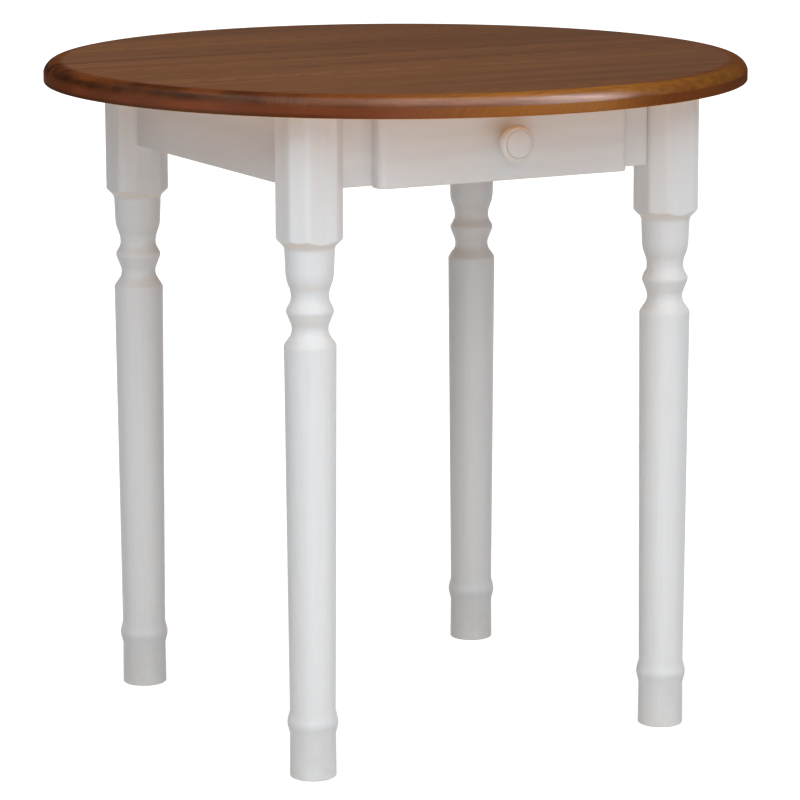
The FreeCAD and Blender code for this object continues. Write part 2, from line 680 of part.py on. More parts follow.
def drawer_front(tools):
    """The overlay front: rounded ends, eased long edges, holes and the groove for the bottom."""
    body = doc.addObject("PartDesign::Body", "drawer_front_moulded")
    half = "sizes.front_width / 2"
    curve_start = "(sizes.front_thickness - sizes.front_end_round)"
    plan = [
        (f"-{half}", "0", "line"),
        (half, "0", "line"),
        (half, f"-{curve_start}", "level_start"),
        (f"{half} - sizes.front_end_round", "-sizes.front_thickness", "line"),
        (f"-{half} + sizes.front_end_round", "-sizes.front_thickness", "level_end"),
        (f"-{half}", f"-{curve_start}", "line"),
    ]
    board = pad(body, "drawer_front_board", outline(body, "drawer_front_plan", "XY_Plane", plan), FRONT_HEIGHT)
    doc.recompute()
    fillet = body.newObject("PartDesign::Fillet", "drawer_front_ease")
    front_edges = [f"Edge{number}" for number, edge in enumerate(board.Shape.Edges, start=1)
                   if abs(edge.BoundBox.ZLength) < 0.01 and edge.BoundBox.YMin < -value(curve_start) - 0.01]
    fillet.Base = (board, front_edges)
    fillet.setExpression("Radius", "sizes.front_ease")
    bind_place(body, "0", f"-{FRONT_BACK}", FRONT_LOW)
    keep(drilled("drawer_front", body, tools))


def drawer_box(dowel_holes):
    """Sides, back and bottom of the drawer; return the groove that the bottom sits in."""
    height = (DRAWER_LOW, DRAWER_TOP)
    groove_half = f"({DRAWER_INNER} + sizes.drawer_groove_depth)"
    groove_near = f"-({FRONT_BACK} + sizes.drawer_groove_depth)"
    groove_far = f"({DRAWER_REAR} - sizes.drawer_side_thickness + sizes.drawer_groove_depth)"
    play = "sizes.drawer_groove_play"
    bottom = box("drawer_bottom", (f"-{groove_half} + {play}", f"{groove_half} - {play}"),
                 (f"{groove_near} + {play}", f"{groove_far} - {play}"), (PANEL_LOW, PANEL_TOP))
    groove = box("drawer_groove", (f"-{groove_half}", groove_half), (groove_near, groove_far),
                 (f"{PANEL_LOW} - {play}", f"{PANEL_TOP} + {play}"))
    length = (f"-{FRONT_BACK}", DRAWER_REAR)
    for word, side in SIDES:
        board = box(f"drawer_side_{word}_board", mirrored(side, DRAWER_INNER, DRAWER_HALF), length, height)
        keep(drilled(f"drawer_side_{word}", board, [groove, dowel_holes]))
    rear = (f"{DRAWER_REAR} - sizes.drawer_side_thickness", DRAWER_REAR)
    back = box("drawer_back_board", (f"-{DRAWER_INNER}", DRAWER_INNER), rear, height)
    keep(drilled("drawer_back", back, [groove, dowel_holes]))
    keep(bottom)
    return groove


def knob_and_screw():
    """The turned knob and the screw that holds it from inside the drawer; return the screw's hole."""
    forward = Vector(0, -1, 0)
    shank = "sizes.knob_screw_diameter / 2"
    length = "(sizes.front_thickness + sizes.knob_screw_bite)"
    seat = ("0", f"-{FRONT_BACK}", KNOB_HEIGHT)
    head = rod("knob_screw_head", "sizes.screw_head_diameter / 2", "sizes.screw_head_height", seat, Vector(0, 1, 0))
    stem = rod("knob_screw_stem", shank, length, seat, forward)
    keep(joined("knob_screw", [head, stem]))
    hole = rod("knob_screw_hole", f"{shank} + sizes.knob_screw_play", f"{length} + sizes.dowel_end_play", seat, forward)
    body = doc.addObject("PartDesign::Body", "drawer_knob_turned")
    face = "sizes.knob_face_diameter / 2"
    neck = "sizes.knob_neck_diameter / 2"
    profile = [
        ("0", "0", "line"),
        ("sizes.knob_base_diameter / 2", "0", "line"),
        ("sizes.knob_base_diameter / 2", "sizes.knob_base_length", "level_end"),
        (neck, "sizes.knob_neck_reach", "level_start"),
        ("sizes.knob_flare_diameter / 2", "sizes.knob_flare_reach", "level_end"),
        ("sizes.knob_diameter / 2", "sizes.knob_crown_reach", "level_start"),
        (face, "sizes.knob_face_reach", "line"),
        (f"{face} - sizes.knob_groove", "sizes.knob_face_reach - sizes.knob_groove", "line"),
        (f"{face} - 2 * sizes.knob_groove", "sizes.knob_face_reach", "upright_end"),
        ("0", "sizes.knob_length", "line"),
    ]
    turn(body, "PartDesign::Revolution", "knob_turning", outline(body, "knob_profile", "XZ_Plane", profile))
    body.Placement = FreeCAD.Placement(Vector(), FreeCAD.Rotation(Vector(0, 0, 1), forward))
    bind_place(body, "0", f"-{FRONT_FACE}", KNOB_HEIGHT)
    keep(drilled("drawer_knob", body, [hole]))
    return hole


def build():
    """Make the fastenings with their holes, then each piece drilled to take them."""
    dowel_holes = frame_dowels()
    leg_bolt_holes, block_bolt_holes = hanger_bolts()
    block_screw_holes = block_screws()
    top_screw_holes = top_screws()
    table_top(top_screw_holes)
    for corner, side_x, side_y, turned in CORNERS:
        leg(corner, side_x, side_y, turned, [dowel_holes, leg_bolt_holes])
    aprons([dowel_holes, block_screw_holes])
    corner_blocks([block_bolt_holes, block_screw_holes, top_screw_holes])
    drawer_way(dowel_holes, top_screw_holes)
    drawer_peg_holes = drawer_dowels()
    groove = drawer_box(drawer_peg_holes)
    knob_hole = knob_and_screw()
    drawer_front([groove, drawer_peg_holes, knob_hole])


def check():
    """Stop if any object failed or any piece is empty or not valid."""
    doc.recompute()
    failed = [item.Label for item in doc.Objects if "Invalid" in item.State or "Error" in item.State]
    if failed:
        raise RuntimeError("failed objects: " + ", ".join(failed))
    for piece in nodes:
        if piece.Shape.isNull() or not piece.Shape.isValid() or not piece.Shape.Solids:
            raise RuntimeError("bad shape: " + piece.Label)


def export():
    """Write one STEP file for each piece."""
    os.makedirs("parts", exist_ok=True)
    for piece in nodes:
        piece.Shape.exportStep(f"parts/{piece.Label}.step")
        print(f"{piece.Label}: {len(piece.Shape.Solids)} solids, {piece.Shape.Volume / 1000:.1f} cm3")


build()
check()
export()
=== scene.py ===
"""Blender scene of a round dining table with turned legs and one drawer.

Metres, +Z up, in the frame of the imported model. The origin is on the floor under the centre of the top,
and the drawer faces -Y. The classes of the pieces give their sizes in millimetres.
"""
from __future__ import annotations

import bmesh
import bpy
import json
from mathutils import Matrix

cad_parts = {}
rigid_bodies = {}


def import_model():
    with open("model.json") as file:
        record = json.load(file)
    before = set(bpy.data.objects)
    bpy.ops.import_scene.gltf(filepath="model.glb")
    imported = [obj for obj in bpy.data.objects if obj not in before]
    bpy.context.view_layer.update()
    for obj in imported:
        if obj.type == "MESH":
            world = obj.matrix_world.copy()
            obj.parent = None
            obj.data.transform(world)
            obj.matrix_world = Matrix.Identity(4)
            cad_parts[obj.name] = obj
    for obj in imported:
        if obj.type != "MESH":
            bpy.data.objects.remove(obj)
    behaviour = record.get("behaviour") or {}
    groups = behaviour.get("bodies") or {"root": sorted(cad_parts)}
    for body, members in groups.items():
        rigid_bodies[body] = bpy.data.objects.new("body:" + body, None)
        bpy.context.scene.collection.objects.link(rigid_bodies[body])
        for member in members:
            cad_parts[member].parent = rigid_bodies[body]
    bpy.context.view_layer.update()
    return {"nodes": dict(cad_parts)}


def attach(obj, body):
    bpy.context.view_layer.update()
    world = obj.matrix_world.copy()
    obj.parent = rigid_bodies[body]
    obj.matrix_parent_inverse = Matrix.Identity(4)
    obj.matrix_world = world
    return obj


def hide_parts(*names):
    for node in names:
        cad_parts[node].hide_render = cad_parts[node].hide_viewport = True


for leftover in list(bpy.data.objects):
    bpy.data.objects.remove(leftover)
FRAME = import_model()

import cmath
import json
import logging
import math
from abc import ABC, abstractmethod
from collections.abc import Callable, Sequence
from dataclasses import dataclass
from enum import Enum
from functools import cache, partial, reduce
from typing import TypeVar

from mathutils import Matrix, Vector

LOG = logging.getLogger("round_dining_table")
MM = 0.001
ARRIS = "arris"
DAYLIGHT = (0.975, 1.0, 1.02)
WHITE = (1.0, 1.0, 1.0)
OPAQUE_WHITE = (1.0, 1.0, 1.0, 1.0)
UP = Vector((0, 0, 1))
FORWARD = Vector((0, -1, 0))
MIX_COLOURS = (0, 6, 7)
MIX_RESULT = 2
FULL_TURN = 2 * math.pi
QUARTER_TURN = math.pi / 2
SIXTH_TURN = math.pi / 3
EIGHTH_TURN = math.pi / 4
SIDES = {"left": -1, "right": 1}
CORNERS = {"front_left": (-1, -1), "front_right": (1, -1), "back_right": (1, 1), "back_left": (-1, 1)}

Pair = tuple[float, float]
Point = tuple[float, float, float]
Rows = list[list[Point]]
Colour = tuple[float, float, float, float]
Numbers = tuple[float, ...]
Ramp = tuple[float, ...]
Level = TypeVar("Level", float, Pair)
Key = int | str
Socket = bpy.types.NodeSocket
Value = float | Colour | Point | Socket
Material = bpy.types.Material


class Carrier(Enum):
    """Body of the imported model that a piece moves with."""

    FRAME = "frame"
    DRAWER = "drawer"


class Slot(Enum):
    """Material slot of the record, kept on each finish."""

    TOP = "stained_top"
    PAINT = "white_paint"
    PINE = "bare_pine"
    PLY = "plywood"
    BEECH = "beech_dowel"
    STEEL = "zinc_steel"


class Along(Enum):
    """Axis of the table that the fibres of a piece of wood follow."""

    X = 0
    Y = 1
    Z = 2

    def across(self) -> tuple[int, int]:
        """The other two axes, in turning order."""
        return (self.value + 1) % 3, (self.value + 2) % 3


class Tree:
    """A tree of shader nodes, with short ways to add and join them."""

    def __init__(self, tree: bpy.types.NodeTree) -> None:
        """Work on a tree."""
        self.nodes = tree.nodes
        self.links = tree.links

    def feed(self, socket: Socket, value: Value) -> None:
        """Join an input to an output, or set it to a constant.

        Args:
            socket: The input.
            value: The output or the constant.
        """
        if isinstance(value, bpy.types.NodeSocket):
            self.links.new(value, socket)
        else:
            socket.default_value = value

    def add(self, kind: str, inputs: dict[Key, Value], output: Key = 0, **settings: str) -> Socket:
        """Add a node.

        Args:
            kind: Blender's name for the node type.
            inputs: Values of its inputs, by number or name.
            output: The output to use, by number or name.
            settings: Its options by name.

        Returns:
            The output.
        """
        node = self.nodes.new(kind)
        for key, setting in settings.items():
            setattr(node, key, setting)
        for key, value in inputs.items():
            self.feed(node.inputs[key], value)
        return node.outputs[output]

    def math(self, operation: str, *values: Value) -> Socket:
        """One step of arithmetic, by Blender's name for it."""
        return self.add("ShaderNodeMath", dict(enumerate(values)), operation=operation)

    def times(self, *values: Value) -> Socket:
        """The product of two or more numbers."""
        return reduce(partial(self.math, "MULTIPLY"), values)

    def largest(self, *values: Value) -> Socket:
        """The largest of two or more numbers."""
        return reduce(partial(self.math, "MAXIMUM"), values)

    def linear(self, value: Value, factor: Value, shift: Value) -> Socket:
        """A number times a factor, plus a shift."""
        return self.math("MULTIPLY_ADD", value, factor, shift)


class Graph(Tree):
    """The tree of one finish."""

    def __init__(self, name: str) -> None:
        """Start a material with a principled surface.

        Args:
            name: Name of the material.
        """
        self.material = bpy.data.materials.new(name)
        self.material.use_nodes = True
        super().__init__(self.material.node_tree)
        self.surface = self.nodes["Principled BSDF"]
        coordinates = self.nodes.new("ShaderNodeTexCoord")
        self.place = coordinates.outputs["Object"]
        self.facing = coordinates.outputs["Normal"]

    def finish(self, **inputs: Value) -> Material:
        """Set the surface's inputs.

        Args:
            inputs: Values by input name, with underscores for spaces.

        Returns:
            The finished material.
        """
        for key, value in inputs.items():
            self.feed(self.surface.inputs[key.replace("_", " ")], value)
        return self.material

    def spread(self, value: Value, low: Value, high: Value, *onto: float) -> Socket:
        """A number mapped smoothly from a range onto another, or onto 0 to 1, and held at its ends."""
        numbers = dict(enumerate((value, low, high, *onto)))
        return self.add("ShaderNodeMapRange", numbers, interpolation_type="SMOOTHSTEP")

    def parts(self, vector: Socket) -> tuple[Socket, ...]:
        """The three numbers of a vector."""
        return tuple(self.add("ShaderNodeSeparateXYZ", {0: vector}).node.outputs)

    def rise(self) -> Socket:
        """How far the surface faces up, from -1 to 1."""
        return self.parts(self.facing)[2]

    def scaled(self, factors: Point, shift: Point = (0.0, 0.0, 0.0)) -> Socket:
        """The place on the surface, stretched along its axes and then moved."""
        inputs = {0: self.place, 1: factors, 2: shift}
        return self.add("ShaderNodeVectorMath", inputs, operation="MULTIPLY_ADD")

    def noise(self, at: Socket, detail: float = 2.0, roughness: float = 0.5, scale: float = 1.0) -> Socket:
        """Smooth noise between about 0.2 and 0.8."""
        inputs = {"Vector": at, "Scale": scale, "Detail": detail, "Roughness": roughness}
        return self.add("ShaderNodeTexNoise", inputs)

    def ripple(self, place: Socket) -> Socket:
        """Smooth noise along a line, about 0.5."""
        return self.add("ShaderNodeTexNoise", {"W": place, "Scale": 1.0}, noise_dimensions="1D")

    def blend(self, factor: Value, low: Value, high: Value, how: str = "MIX") -> Socket:
        """Two colours mixed by Blender's name for the way, with a share of the second."""
        colours = dict(zip(MIX_COLOURS, (factor, low, high)))
        return self.add("ShaderNodeMix", colours, MIX_RESULT, data_type="RGBA", blend_type=how)

    def lay(self, ground: Value, colour: Value, pattern: Socket, ramp: Ramp) -> Socket:
        """A colour laid over the ground where a ramp of a pattern says."""
        return self.blend(self.spread(pattern, *ramp), ground, colour)

    def dim(self, colour: Value, level: Value) -> Socket:
        """A colour times a number."""
        grey = self.add("ShaderNodeCombineColor", dict.fromkeys(range(3), level))
        return self.blend(1.0, colour, grey, "MULTIPLY")

    def steps(self, factor: Socket, stops: tuple[Pair, ...]) -> Socket:
        """Read a number off a curve of straight runs.

        Args:
            factor: Where to read it, from 0 to 1.
            stops: Places on the curve and their values.

        Returns:
            The value.
        """
        node = self.nodes.new("ShaderNodeValToRGB")
        elements = node.color_ramp.elements
        while len(elements) < len(stops):
            elements.new(0.5)
        for element, (place, level) in zip(elements, stops):
            element.position = place
            element.color = (level, level, level, 1.0)
        self.feed(node.inputs[0], factor)
        return node.outputs[0]

    def bump(self, height: Socket, strength: float, depth: float) -> Socket:
        """The normal of a surface that a height map from 0 to 1 raises by a depth in metres."""
        return self.add("ShaderNodeBump", {"Strength": strength, "Distance": depth, "Height": height})

    def arris(self) -> Socket:
        """How close the surface is to a sharp edge of its piece, from 0 to 1."""
        return self.add("ShaderNodeAttribute", {}, "Fac", attribute_name=ARRIS)


@dataclass(frozen=True)
class Log:
    """The log that a board was sawn from: its heart, the lean of the heart and the growth of its rings."""

    along: Along
    heart: Pair = (0.0, 0.0)
    lean: Pair = (0.02, 0.03)
    ring: float = 4.0 * MM
    seed: float = 0.0
    wander: float = 0.03
    wander_across: float = 7.0
    wander_along: float = 1.6
    years_apart: float = 0.37
    unevenness: float = 2.2
    growth: tuple[Pair, ...] = ((0.0, 0.25), (0.22, 0.0), (0.6, 0.25), (0.9, 1.0), (1.0, 0.25))

    def rings(self, graph: Graph) -> Socket:
        """Late wood of the yearly rings.

        Args:
            graph: The finish that shows them.

        Returns:
            0 in the pale early wood, up to 1 in the dark late wood.
        """
        coordinates = graph.parts(graph.place)
        length = coordinates[self.along.value]
        slow = tuple(self.wander_along if axis is self.along else self.wander_across for axis in Along)
        offsets = []
        for number, axis in enumerate(self.along.across()):
            shift = (self.seed, self.seed * 1.7, self.seed * 0.6 + 5.3 * number)
            noise = graph.noise(graph.scaled(slow, shift), detail=1.0)
            wander = graph.linear(noise, self.wander, -self.heart[number] - self.wander / 2)
            drift = graph.linear(length, self.lean[number], wander)
            offsets.append(graph.math("ADD", coordinates[axis], drift))
        squares = [graph.times(offset, offset) for offset in offsets]
        years = graph.math("DIVIDE", graph.math("SQRT", graph.math("ADD", *squares)), self.ring)
        uneven = graph.ripple(graph.linear(years, self.years_apart, self.seed))
        return graph.steps(graph.math("FRACT", graph.linear(uneven, self.unevenness, years)), self.growth)

    def drawn_out(self, graph: Graph, fineness: float, stretch: float, shift: float) -> Socket:
        """Where to read a pattern, so fine across a metre, that is drawn out along the grain."""
        factors = (fineness / stretch if axis is self.along else fineness for axis in Along)
        return graph.scaled(tuple(factors), (shift, 0.0, self.seed))

    def fibres(self, graph: Graph, fineness: float = 800.0) -> Socket:
        """Fine streaks along the grain, about 0.5, so many across a metre."""
        return graph.noise(self.drawn_out(graph, fineness, 60.0, self.seed), roughness=0.6)

    def bands(self, graph: Graph, fineness: float = 30.0) -> Socket:
        """Broad soft bands along the grain, about 0.5, so many across a metre."""
        return graph.noise(self.drawn_out(graph, fineness, 24.0, self.seed * 2.0), detail=3.0, roughness=0.55)


class Finish(ABC):
    """Look of a surface, made into one material however many pieces share it."""

    slot: Slot

    @abstractmethod
    def material(self) -> Material:
        """Build the material."""


@dataclass(frozen=True)
class StainedPine(Finish):
    """Brown stain and satin varnish on one board of the top.

    The stain lies thick and blotchy on the left of the moulded rim, is rubbed to gold on the crown of its
    right, and the rim is polished most in front. A ramp is a range, of x in metres unless its comment says
    otherwise, and the range it maps onto, or 0 to 1.
    """

    slot = Slot.TOP
    number: int
    log: Log
    tone: float = 1.0
    pale: Colour = (0.137, 0.050, 0.0145, 1.0)
    # dark is the late wood's colour, and is also used as painted shade on the rim's lower edge
    dark: Colour = (0.068, 0.022, 0.007, 1.0)
    gold: Colour = (0.285, 0.103, 0.018, 1.0)
    copper: Colour = (0.230, 0.058, 0.012, 1.0)
    redder: Colour = (1.120, 0.880, 0.750, 1.0)
    ruddy: Colour = (0.160, 0.041, 0.015, 1.0)
    amber: Colour = (0.290, 0.100, 0.015, 1.0)
    umber: Colour = (0.148, 0.043, 0.012, 1.0)
    # bright is a painted glow on the right of the rim's lower edge
    bright: Colour = (0.480, 0.170, 0.035, 1.0)
    thin: Colour = (0.810, 0.350, 0.055, 1.0)
    thin_late: Colour = (0.620, 0.210, 0.022, 1.0)
    # Share of the late wood's colour on both faces, varnish of the flat and what the rim lacks of it
    late_share: float = 0.42
    thin_late_share: float = 0.7
    varnish: float = 0.075
    rim_lack: float = 0.05
    # Stretch of the patterns on the rim
    blotch_scale: Point = (9.0, 14.0, 40.0)
    patch_scale: Point = (12.0, 12.0, 3.0)
    patch_shift: Point = (5.0, 0.0, 0.0)
    grain_scale: Point = (45.0, 170.0, 170.0)
    streak_scale: Point = (30.0, 30.0, 700.0)
    # Tone of the flat, by bands and fibres, and painted light by x that makes it lighter on the left and
    # darker on the right
    band_tone: Ramp = (0.25, 0.75, 0.80, 1.18)
    fibre_tone: Ramp = (0.2, 0.8, 0.90, 1.10)
    painted_light_by_x: Ramp = (-0.4, 0.4, 1.10, 0.88)
    # Underside, by how far it faces up and by bands
    underside: Ramp = (-0.6, -0.9)
    thin_bands: Ramp = (0.45, 0.75, 0.0, 0.5)
    # Start of the moulded rim by radius, and of its rub by x
    moulding: Ramp = (0.375, 0.386)
    rub_start: Ramp = (0.02, 0.20, 0.375, 0.382)
    rub_fade: float = 0.011
    # How far up the crown and the band below it face
    crown_low: Ramp = (0.02, 0.15, 0.64, 0.08)
    crown_fade: float = 0.22
    band_high: Ramp = (-0.34, -0.16, 0.62, 0.16)
    band_full: float = 0.10
    band_low: Ramp = (-0.25, -0.1)
    band_cover: float = 0.9
    # Rub of the crown, by x and by blotches, and its colour
    rub_left: Ramp = (-0.26, -0.02, 0.45, 1.0)
    rub_blotch: Ramp = (0.30, 0.60, 0.65, 1.0)
    rub_end: Ramp = (0.25, 0.33, 1.0, 0.12)
    gold_from: Ramp = (-0.27, -0.10)
    gold_dim: Ramp = (0.02, 0.26, 0.95, 0.58)
    gold_grain: Ramp = (0.30, 0.70, 0.80, 1.18)
    # Colour of the band, its patches and its slanting saw marks
    amber_from: Ramp = (-0.22, -0.04)
    umber_from: Ramp = (0.02, 0.14)
    umber_dim: Ramp = (0.19, 0.26, 1.0, 0.76)
    left: Ramp = (-0.12, -0.40)
    band_patch: Ramp = (0.40, 0.60, -0.16, 0.16)
    saw_slant: Pair = (400.0, -240.0)
    saw_mark: Ramp = (0.36, 0.64, -0.18, 0.06)
    saw_reach: Ramp = (0.24, 0.12)
    # Lower edge, by how far it faces up and by height: a painted glow on the right, painted shade on the
    # left, and a painted shadow line along the bottom of the band on the left
    edge_below: Ramp = (-0.05, -0.25)
    painted_glow_by_x: Ramp = (-0.22, -0.12)
    edge_cover: float = 0.8
    shade_height: Ramp = (0.7415, 0.7385)
    shade_left: Ramp = (-0.20, -0.27)
    shade_cover: float = 0.75
    # Thick stain on the left, by blotches, and what is spared of the band, and of the crown by patches
    soak_blotch: Ramp = (0.3, 0.7, -0.88, -0.42)
    band_spared: float = -0.85
    crown_spared: Ramp = (0.40, 0.60, 0.0, -0.65)
    # Polish, by the share of the radius towards the front, by x, by streaks and by how far up it faces
    front: Pair = (-0.469, -0.883)
    radius: float = 0.4
    polish_front: Ramp = (0.50, 0.82, 0.0, 0.17)
    polish_middle: Ramp = (-0.24, -0.17, 0.36, 1.0)
    polish_left: Ramp = (-0.28, -0.34)
    polish_right: Ramp = (0.02, 0.10, 1.0, 0.03)
    polish_streaks: Ramp = (0.30, 0.70, 0.78, 1.14)
    polish_below: Ramp = (0.90, 0.80)

    def rim(self, graph: Graph, colour: Socket) -> tuple[Socket, Socket, Socket]:
        """Stain of the moulded rim over that of the flat, with painted light and shade on its lower edge.

        Args:
            graph: The finish.
            colour: Colour of the flat.

        Returns:
            The colour, how far the surface belongs to the rim, and how much it is polished.
        """
        x, y, z = graph.parts(graph.place)
        by_x = partial(graph.spread, x)
        rise = graph.rise()
        reach = graph.math("SQRT", graph.linear(x, x, graph.times(y, y)))
        moulded = graph.spread(reach, *self.moulding)
        rub_start = by_x(*self.rub_start)
        rub = graph.spread(reach, rub_start, graph.math("ADD", rub_start, self.rub_fade))
        low = by_x(*self.crown_low)
        crown = graph.times(rub, graph.spread(rise, low, graph.math("ADD", low, self.crown_fade)))
        high = by_x(*self.band_high)
        band = graph.times(graph.spread(rise, high, self.band_full), graph.spread(rise, *self.band_low))
        left = by_x(*self.left)
        blotch_place = graph.scaled(self.blotch_scale, (self.log.seed, 0.0, 0.0))
        blotch = graph.noise(blotch_place, detail=3.0, roughness=0.6)
        patch = graph.noise(graph.scaled(self.patch_scale, self.patch_shift), detail=1.0)
        # Crown, rubbed to copper and gold
        colour = graph.blend(moulded, colour, self.redder, "MULTIPLY")
        worn = graph.times(crown, by_x(*self.rub_left), graph.spread(blotch, *self.rub_blotch),
                           by_x(*self.rub_end))
        rubbed = graph.lay(self.copper, self.gold, x, self.gold_from)
        rubbed = graph.dim(rubbed, by_x(*self.gold_dim))
        grain = graph.noise(graph.scaled(self.grain_scale), detail=3.0, roughness=0.6)
        rubbed = graph.dim(rubbed, graph.spread(grain, *self.gold_grain))
        colour = graph.blend(worn, colour, rubbed)
        # Band below the crown
        under = graph.lay(self.ruddy, self.amber, x, self.amber_from)
        under = graph.lay(under, self.umber, x, self.umber_from)
        under = graph.dim(under, by_x(*self.umber_dim))
        under = graph.dim(under, graph.linear(left, graph.spread(patch, *self.band_patch), 1.0))
        slant = graph.linear(x, self.saw_slant[0], graph.times(z, self.saw_slant[1]))
        marks = graph.spread(graph.ripple(slant), *self.saw_mark)
        near = graph.spread(graph.math("ABSOLUTE", x), *self.saw_reach)
        under = graph.dim(under, graph.linear(marks, near, 1.0))
        colour = graph.blend(graph.times(band, self.band_cover), colour, under)
        # Lower edge: a painted glow of light from below on the right, painted shade on the left, and a
        # painted shadow line along the bottom of the band on the left
        low_edge = graph.times(graph.arris(), graph.spread(rise, *self.edge_below))
        edge = graph.lay(self.dark, self.bright, x, self.painted_glow_by_x)
        colour = graph.blend(graph.times(low_edge, self.edge_cover), colour, edge)
        shaded = graph.times(graph.spread(z, *self.shade_height), by_x(*self.shade_left))
        colour = graph.blend(graph.times(shaded, self.shade_cover), colour, self.dark)
        # Thick stain on the left
        spared = graph.math("ADD", graph.times(crown, graph.spread(patch, *self.crown_spared)), 1.0)
        bare = graph.times(graph.linear(band, self.band_spared, 1.0), spared)
        soak = graph.times(left, graph.spread(blotch, *self.soak_blotch), moulded)
        colour = graph.dim(colour, graph.linear(soak, bare, 1.0))
        # Polish of the front
        towards = graph.linear(x, self.front[0], graph.times(y, self.front[1]))
        polish = graph.spread(graph.math("DIVIDE", towards, self.radius), *self.polish_front)
        ends = graph.largest(by_x(*self.polish_middle), by_x(*self.polish_left))
        streaks = graph.spread(graph.noise(graph.scaled(self.streak_scale)), *self.polish_streaks)
        faded = graph.times(polish, ends, by_x(*self.polish_right), streaks)
        return colour, moulded, graph.times(faded, graph.spread(rise, *self.polish_below))

    @cache
    def material(self) -> Material:
        """Build the material of this board.

        Returns:
            The material.
        """
        graph = Graph(f"stained_pine_board_{self.number}")
        late = self.log.rings(graph)
        fibres = self.log.fibres(graph)
        bands = self.log.bands(graph)
        x = graph.parts(graph.place)[0]
        colour = graph.blend(graph.times(late, self.late_share), self.pale, self.dark)
        # Tone of the flat by its grain, times painted light that is lighter on the left and darker on the
        # right
        grain_tone_and_painted_light = graph.times(graph.spread(bands, *self.band_tone), self.tone,
                             graph.spread(fibres, *self.fibre_tone), graph.spread(x, *self.painted_light_by_x))
        colour, moulded, polish = self.rim(graph, graph.dim(colour, grain_tone_and_painted_light))
        below = graph.blend(graph.times(late, self.thin_late_share), self.thin, self.thin_late)
        below = graph.lay(below, self.thin_late, bands, self.thin_bands)
        colour = graph.lay(colour, below, graph.rise(), self.underside)
        relief = graph.linear(fibres, 0.6, graph.times(late, 0.4))
        return graph.finish(
            Base_Color=colour,
            Roughness=graph.spread(fibres, 0.2, 0.8, 0.42, 0.58),
            Specular_IOR_Level=0.0,
            Coat_Weight=graph.linear(moulded, graph.math("SUBTRACT", polish, self.rim_lack), self.varnish),
            Coat_Roughness=0.32,
            Normal=graph.bump(relief, strength=0.22, depth=0.15 * MM),
        )


@dataclass(frozen=True)
class WhitePaint(Finish):
    """Satin white paint through which the grain of the wood can just be seen."""

    slot = Slot.PAINT
    log: Log
    ridge: float = 0.25 * MM
    body: Colour = (0.800, 0.806, 0.812, 1.0)
    shade: Colour = (0.760, 0.760, 0.760, 1.0)
    # rubbed is painted warm shade along sharp edges and in creases
    rubbed: Colour = (0.740, 0.690, 0.610, 1.0)
    # under is painted warm shade on faces that face down
    under: Colour = (0.780, 0.690, 0.600, 1.0)
    # Darker grain colour by bands and fibres, painted warm shade along sharp edges and in creases by patches,
    # painted warm shade on faces that face down, and painted light by how far up the paint faces
    band_shade: Ramp = (0.3, 0.75)
    fibre_shade: Ramp = (0.52, 0.72, 0.0, 0.8)
    patch_edge_shade: Ramp = (0.4, 0.7, 0.05, 0.55)
    painted_shade_facing_down: Ramp = (-0.15, -0.70, 0.0, 0.8)
    painted_light_by_facing: Ramp = (-0.45, 0.45, 0.92, 1.06)

    @cache
    def material(self) -> Material:
        """Build the material.

        Returns:
            The material.
        """
        graph = Graph(f"white_paint_along_{self.log.along.name.lower()}")
        fibres = self.log.fibres(graph, 620.0)
        bands = self.log.bands(graph, 45.0)
        peel = graph.noise(graph.place, scale=900.0)
        colour = graph.lay(self.body, self.shade, bands, self.band_shade)
        colour = graph.lay(colour, self.shade, fibres, self.fibre_shade)
        # Painted warm shade, in patches, along sharp edges and in creases
        patchy = graph.noise(graph.place, detail=3.0, roughness=0.6, scale=60.0)
        worn = graph.times(graph.arris(), graph.spread(patchy, *self.patch_edge_shade))
        colour = graph.blend(worn, colour, self.rubbed)
        rise = graph.rise()
        # Painted warm shade on faces that face down, such as the cove under the block and the undersides of
        # the rings
        colour = graph.lay(colour, self.under, rise, self.painted_shade_facing_down)
        relief = graph.linear(peel, 0.25, graph.times(fibres, 0.75))
        # Painted light: faces that face down are darker, faces that face up lighter
        return graph.finish(
            Base_Color=graph.dim(colour, graph.spread(rise, *self.painted_light_by_facing)),
            Roughness=graph.spread(bands, 0.25, 0.75, 0.40, 0.52),
            Specular_IOR_Level=0.35,
            Normal=graph.bump(relief, strength=0.60, depth=self.ridge),
        )


@dataclass(frozen=True)
class BarePine(Finish):
    """Planed pine with no finish, on the pieces inside the frame and the drawer."""

    slot = Slot.PINE
    name: str
    log: Log
    pale: Colour = (0.700, 0.500, 0.290, 1.0)
    dark: Colour = (0.480, 0.265, 0.110, 1.0)
    fibre_dark: Ramp = (0.55, 0.8, 0.0, 0.35)

    @cache
    def material(self) -> Material:
        """Build the material.

        Returns:
            The material.
        """
        graph = Graph(f"bare_pine_{self.name}")
        late = self.log.rings(graph)
        fibres = self.log.fibres(graph)
        colour = graph.blend(graph.times(late, 0.75), self.pale, self.dark)
        colour = graph.lay(colour, self.dark, fibres, self.fibre_dark)
        relief = graph.linear(fibres, 0.5, graph.times(late, 0.5))
        return graph.finish(
            Base_Color=colour,
            Roughness=graph.spread(late, 0.0, 1.0, 0.72, 0.55),
            Specular_IOR_Level=0.30,
            Normal=graph.bump(relief, strength=0.35, depth=0.2 * MM),
        )


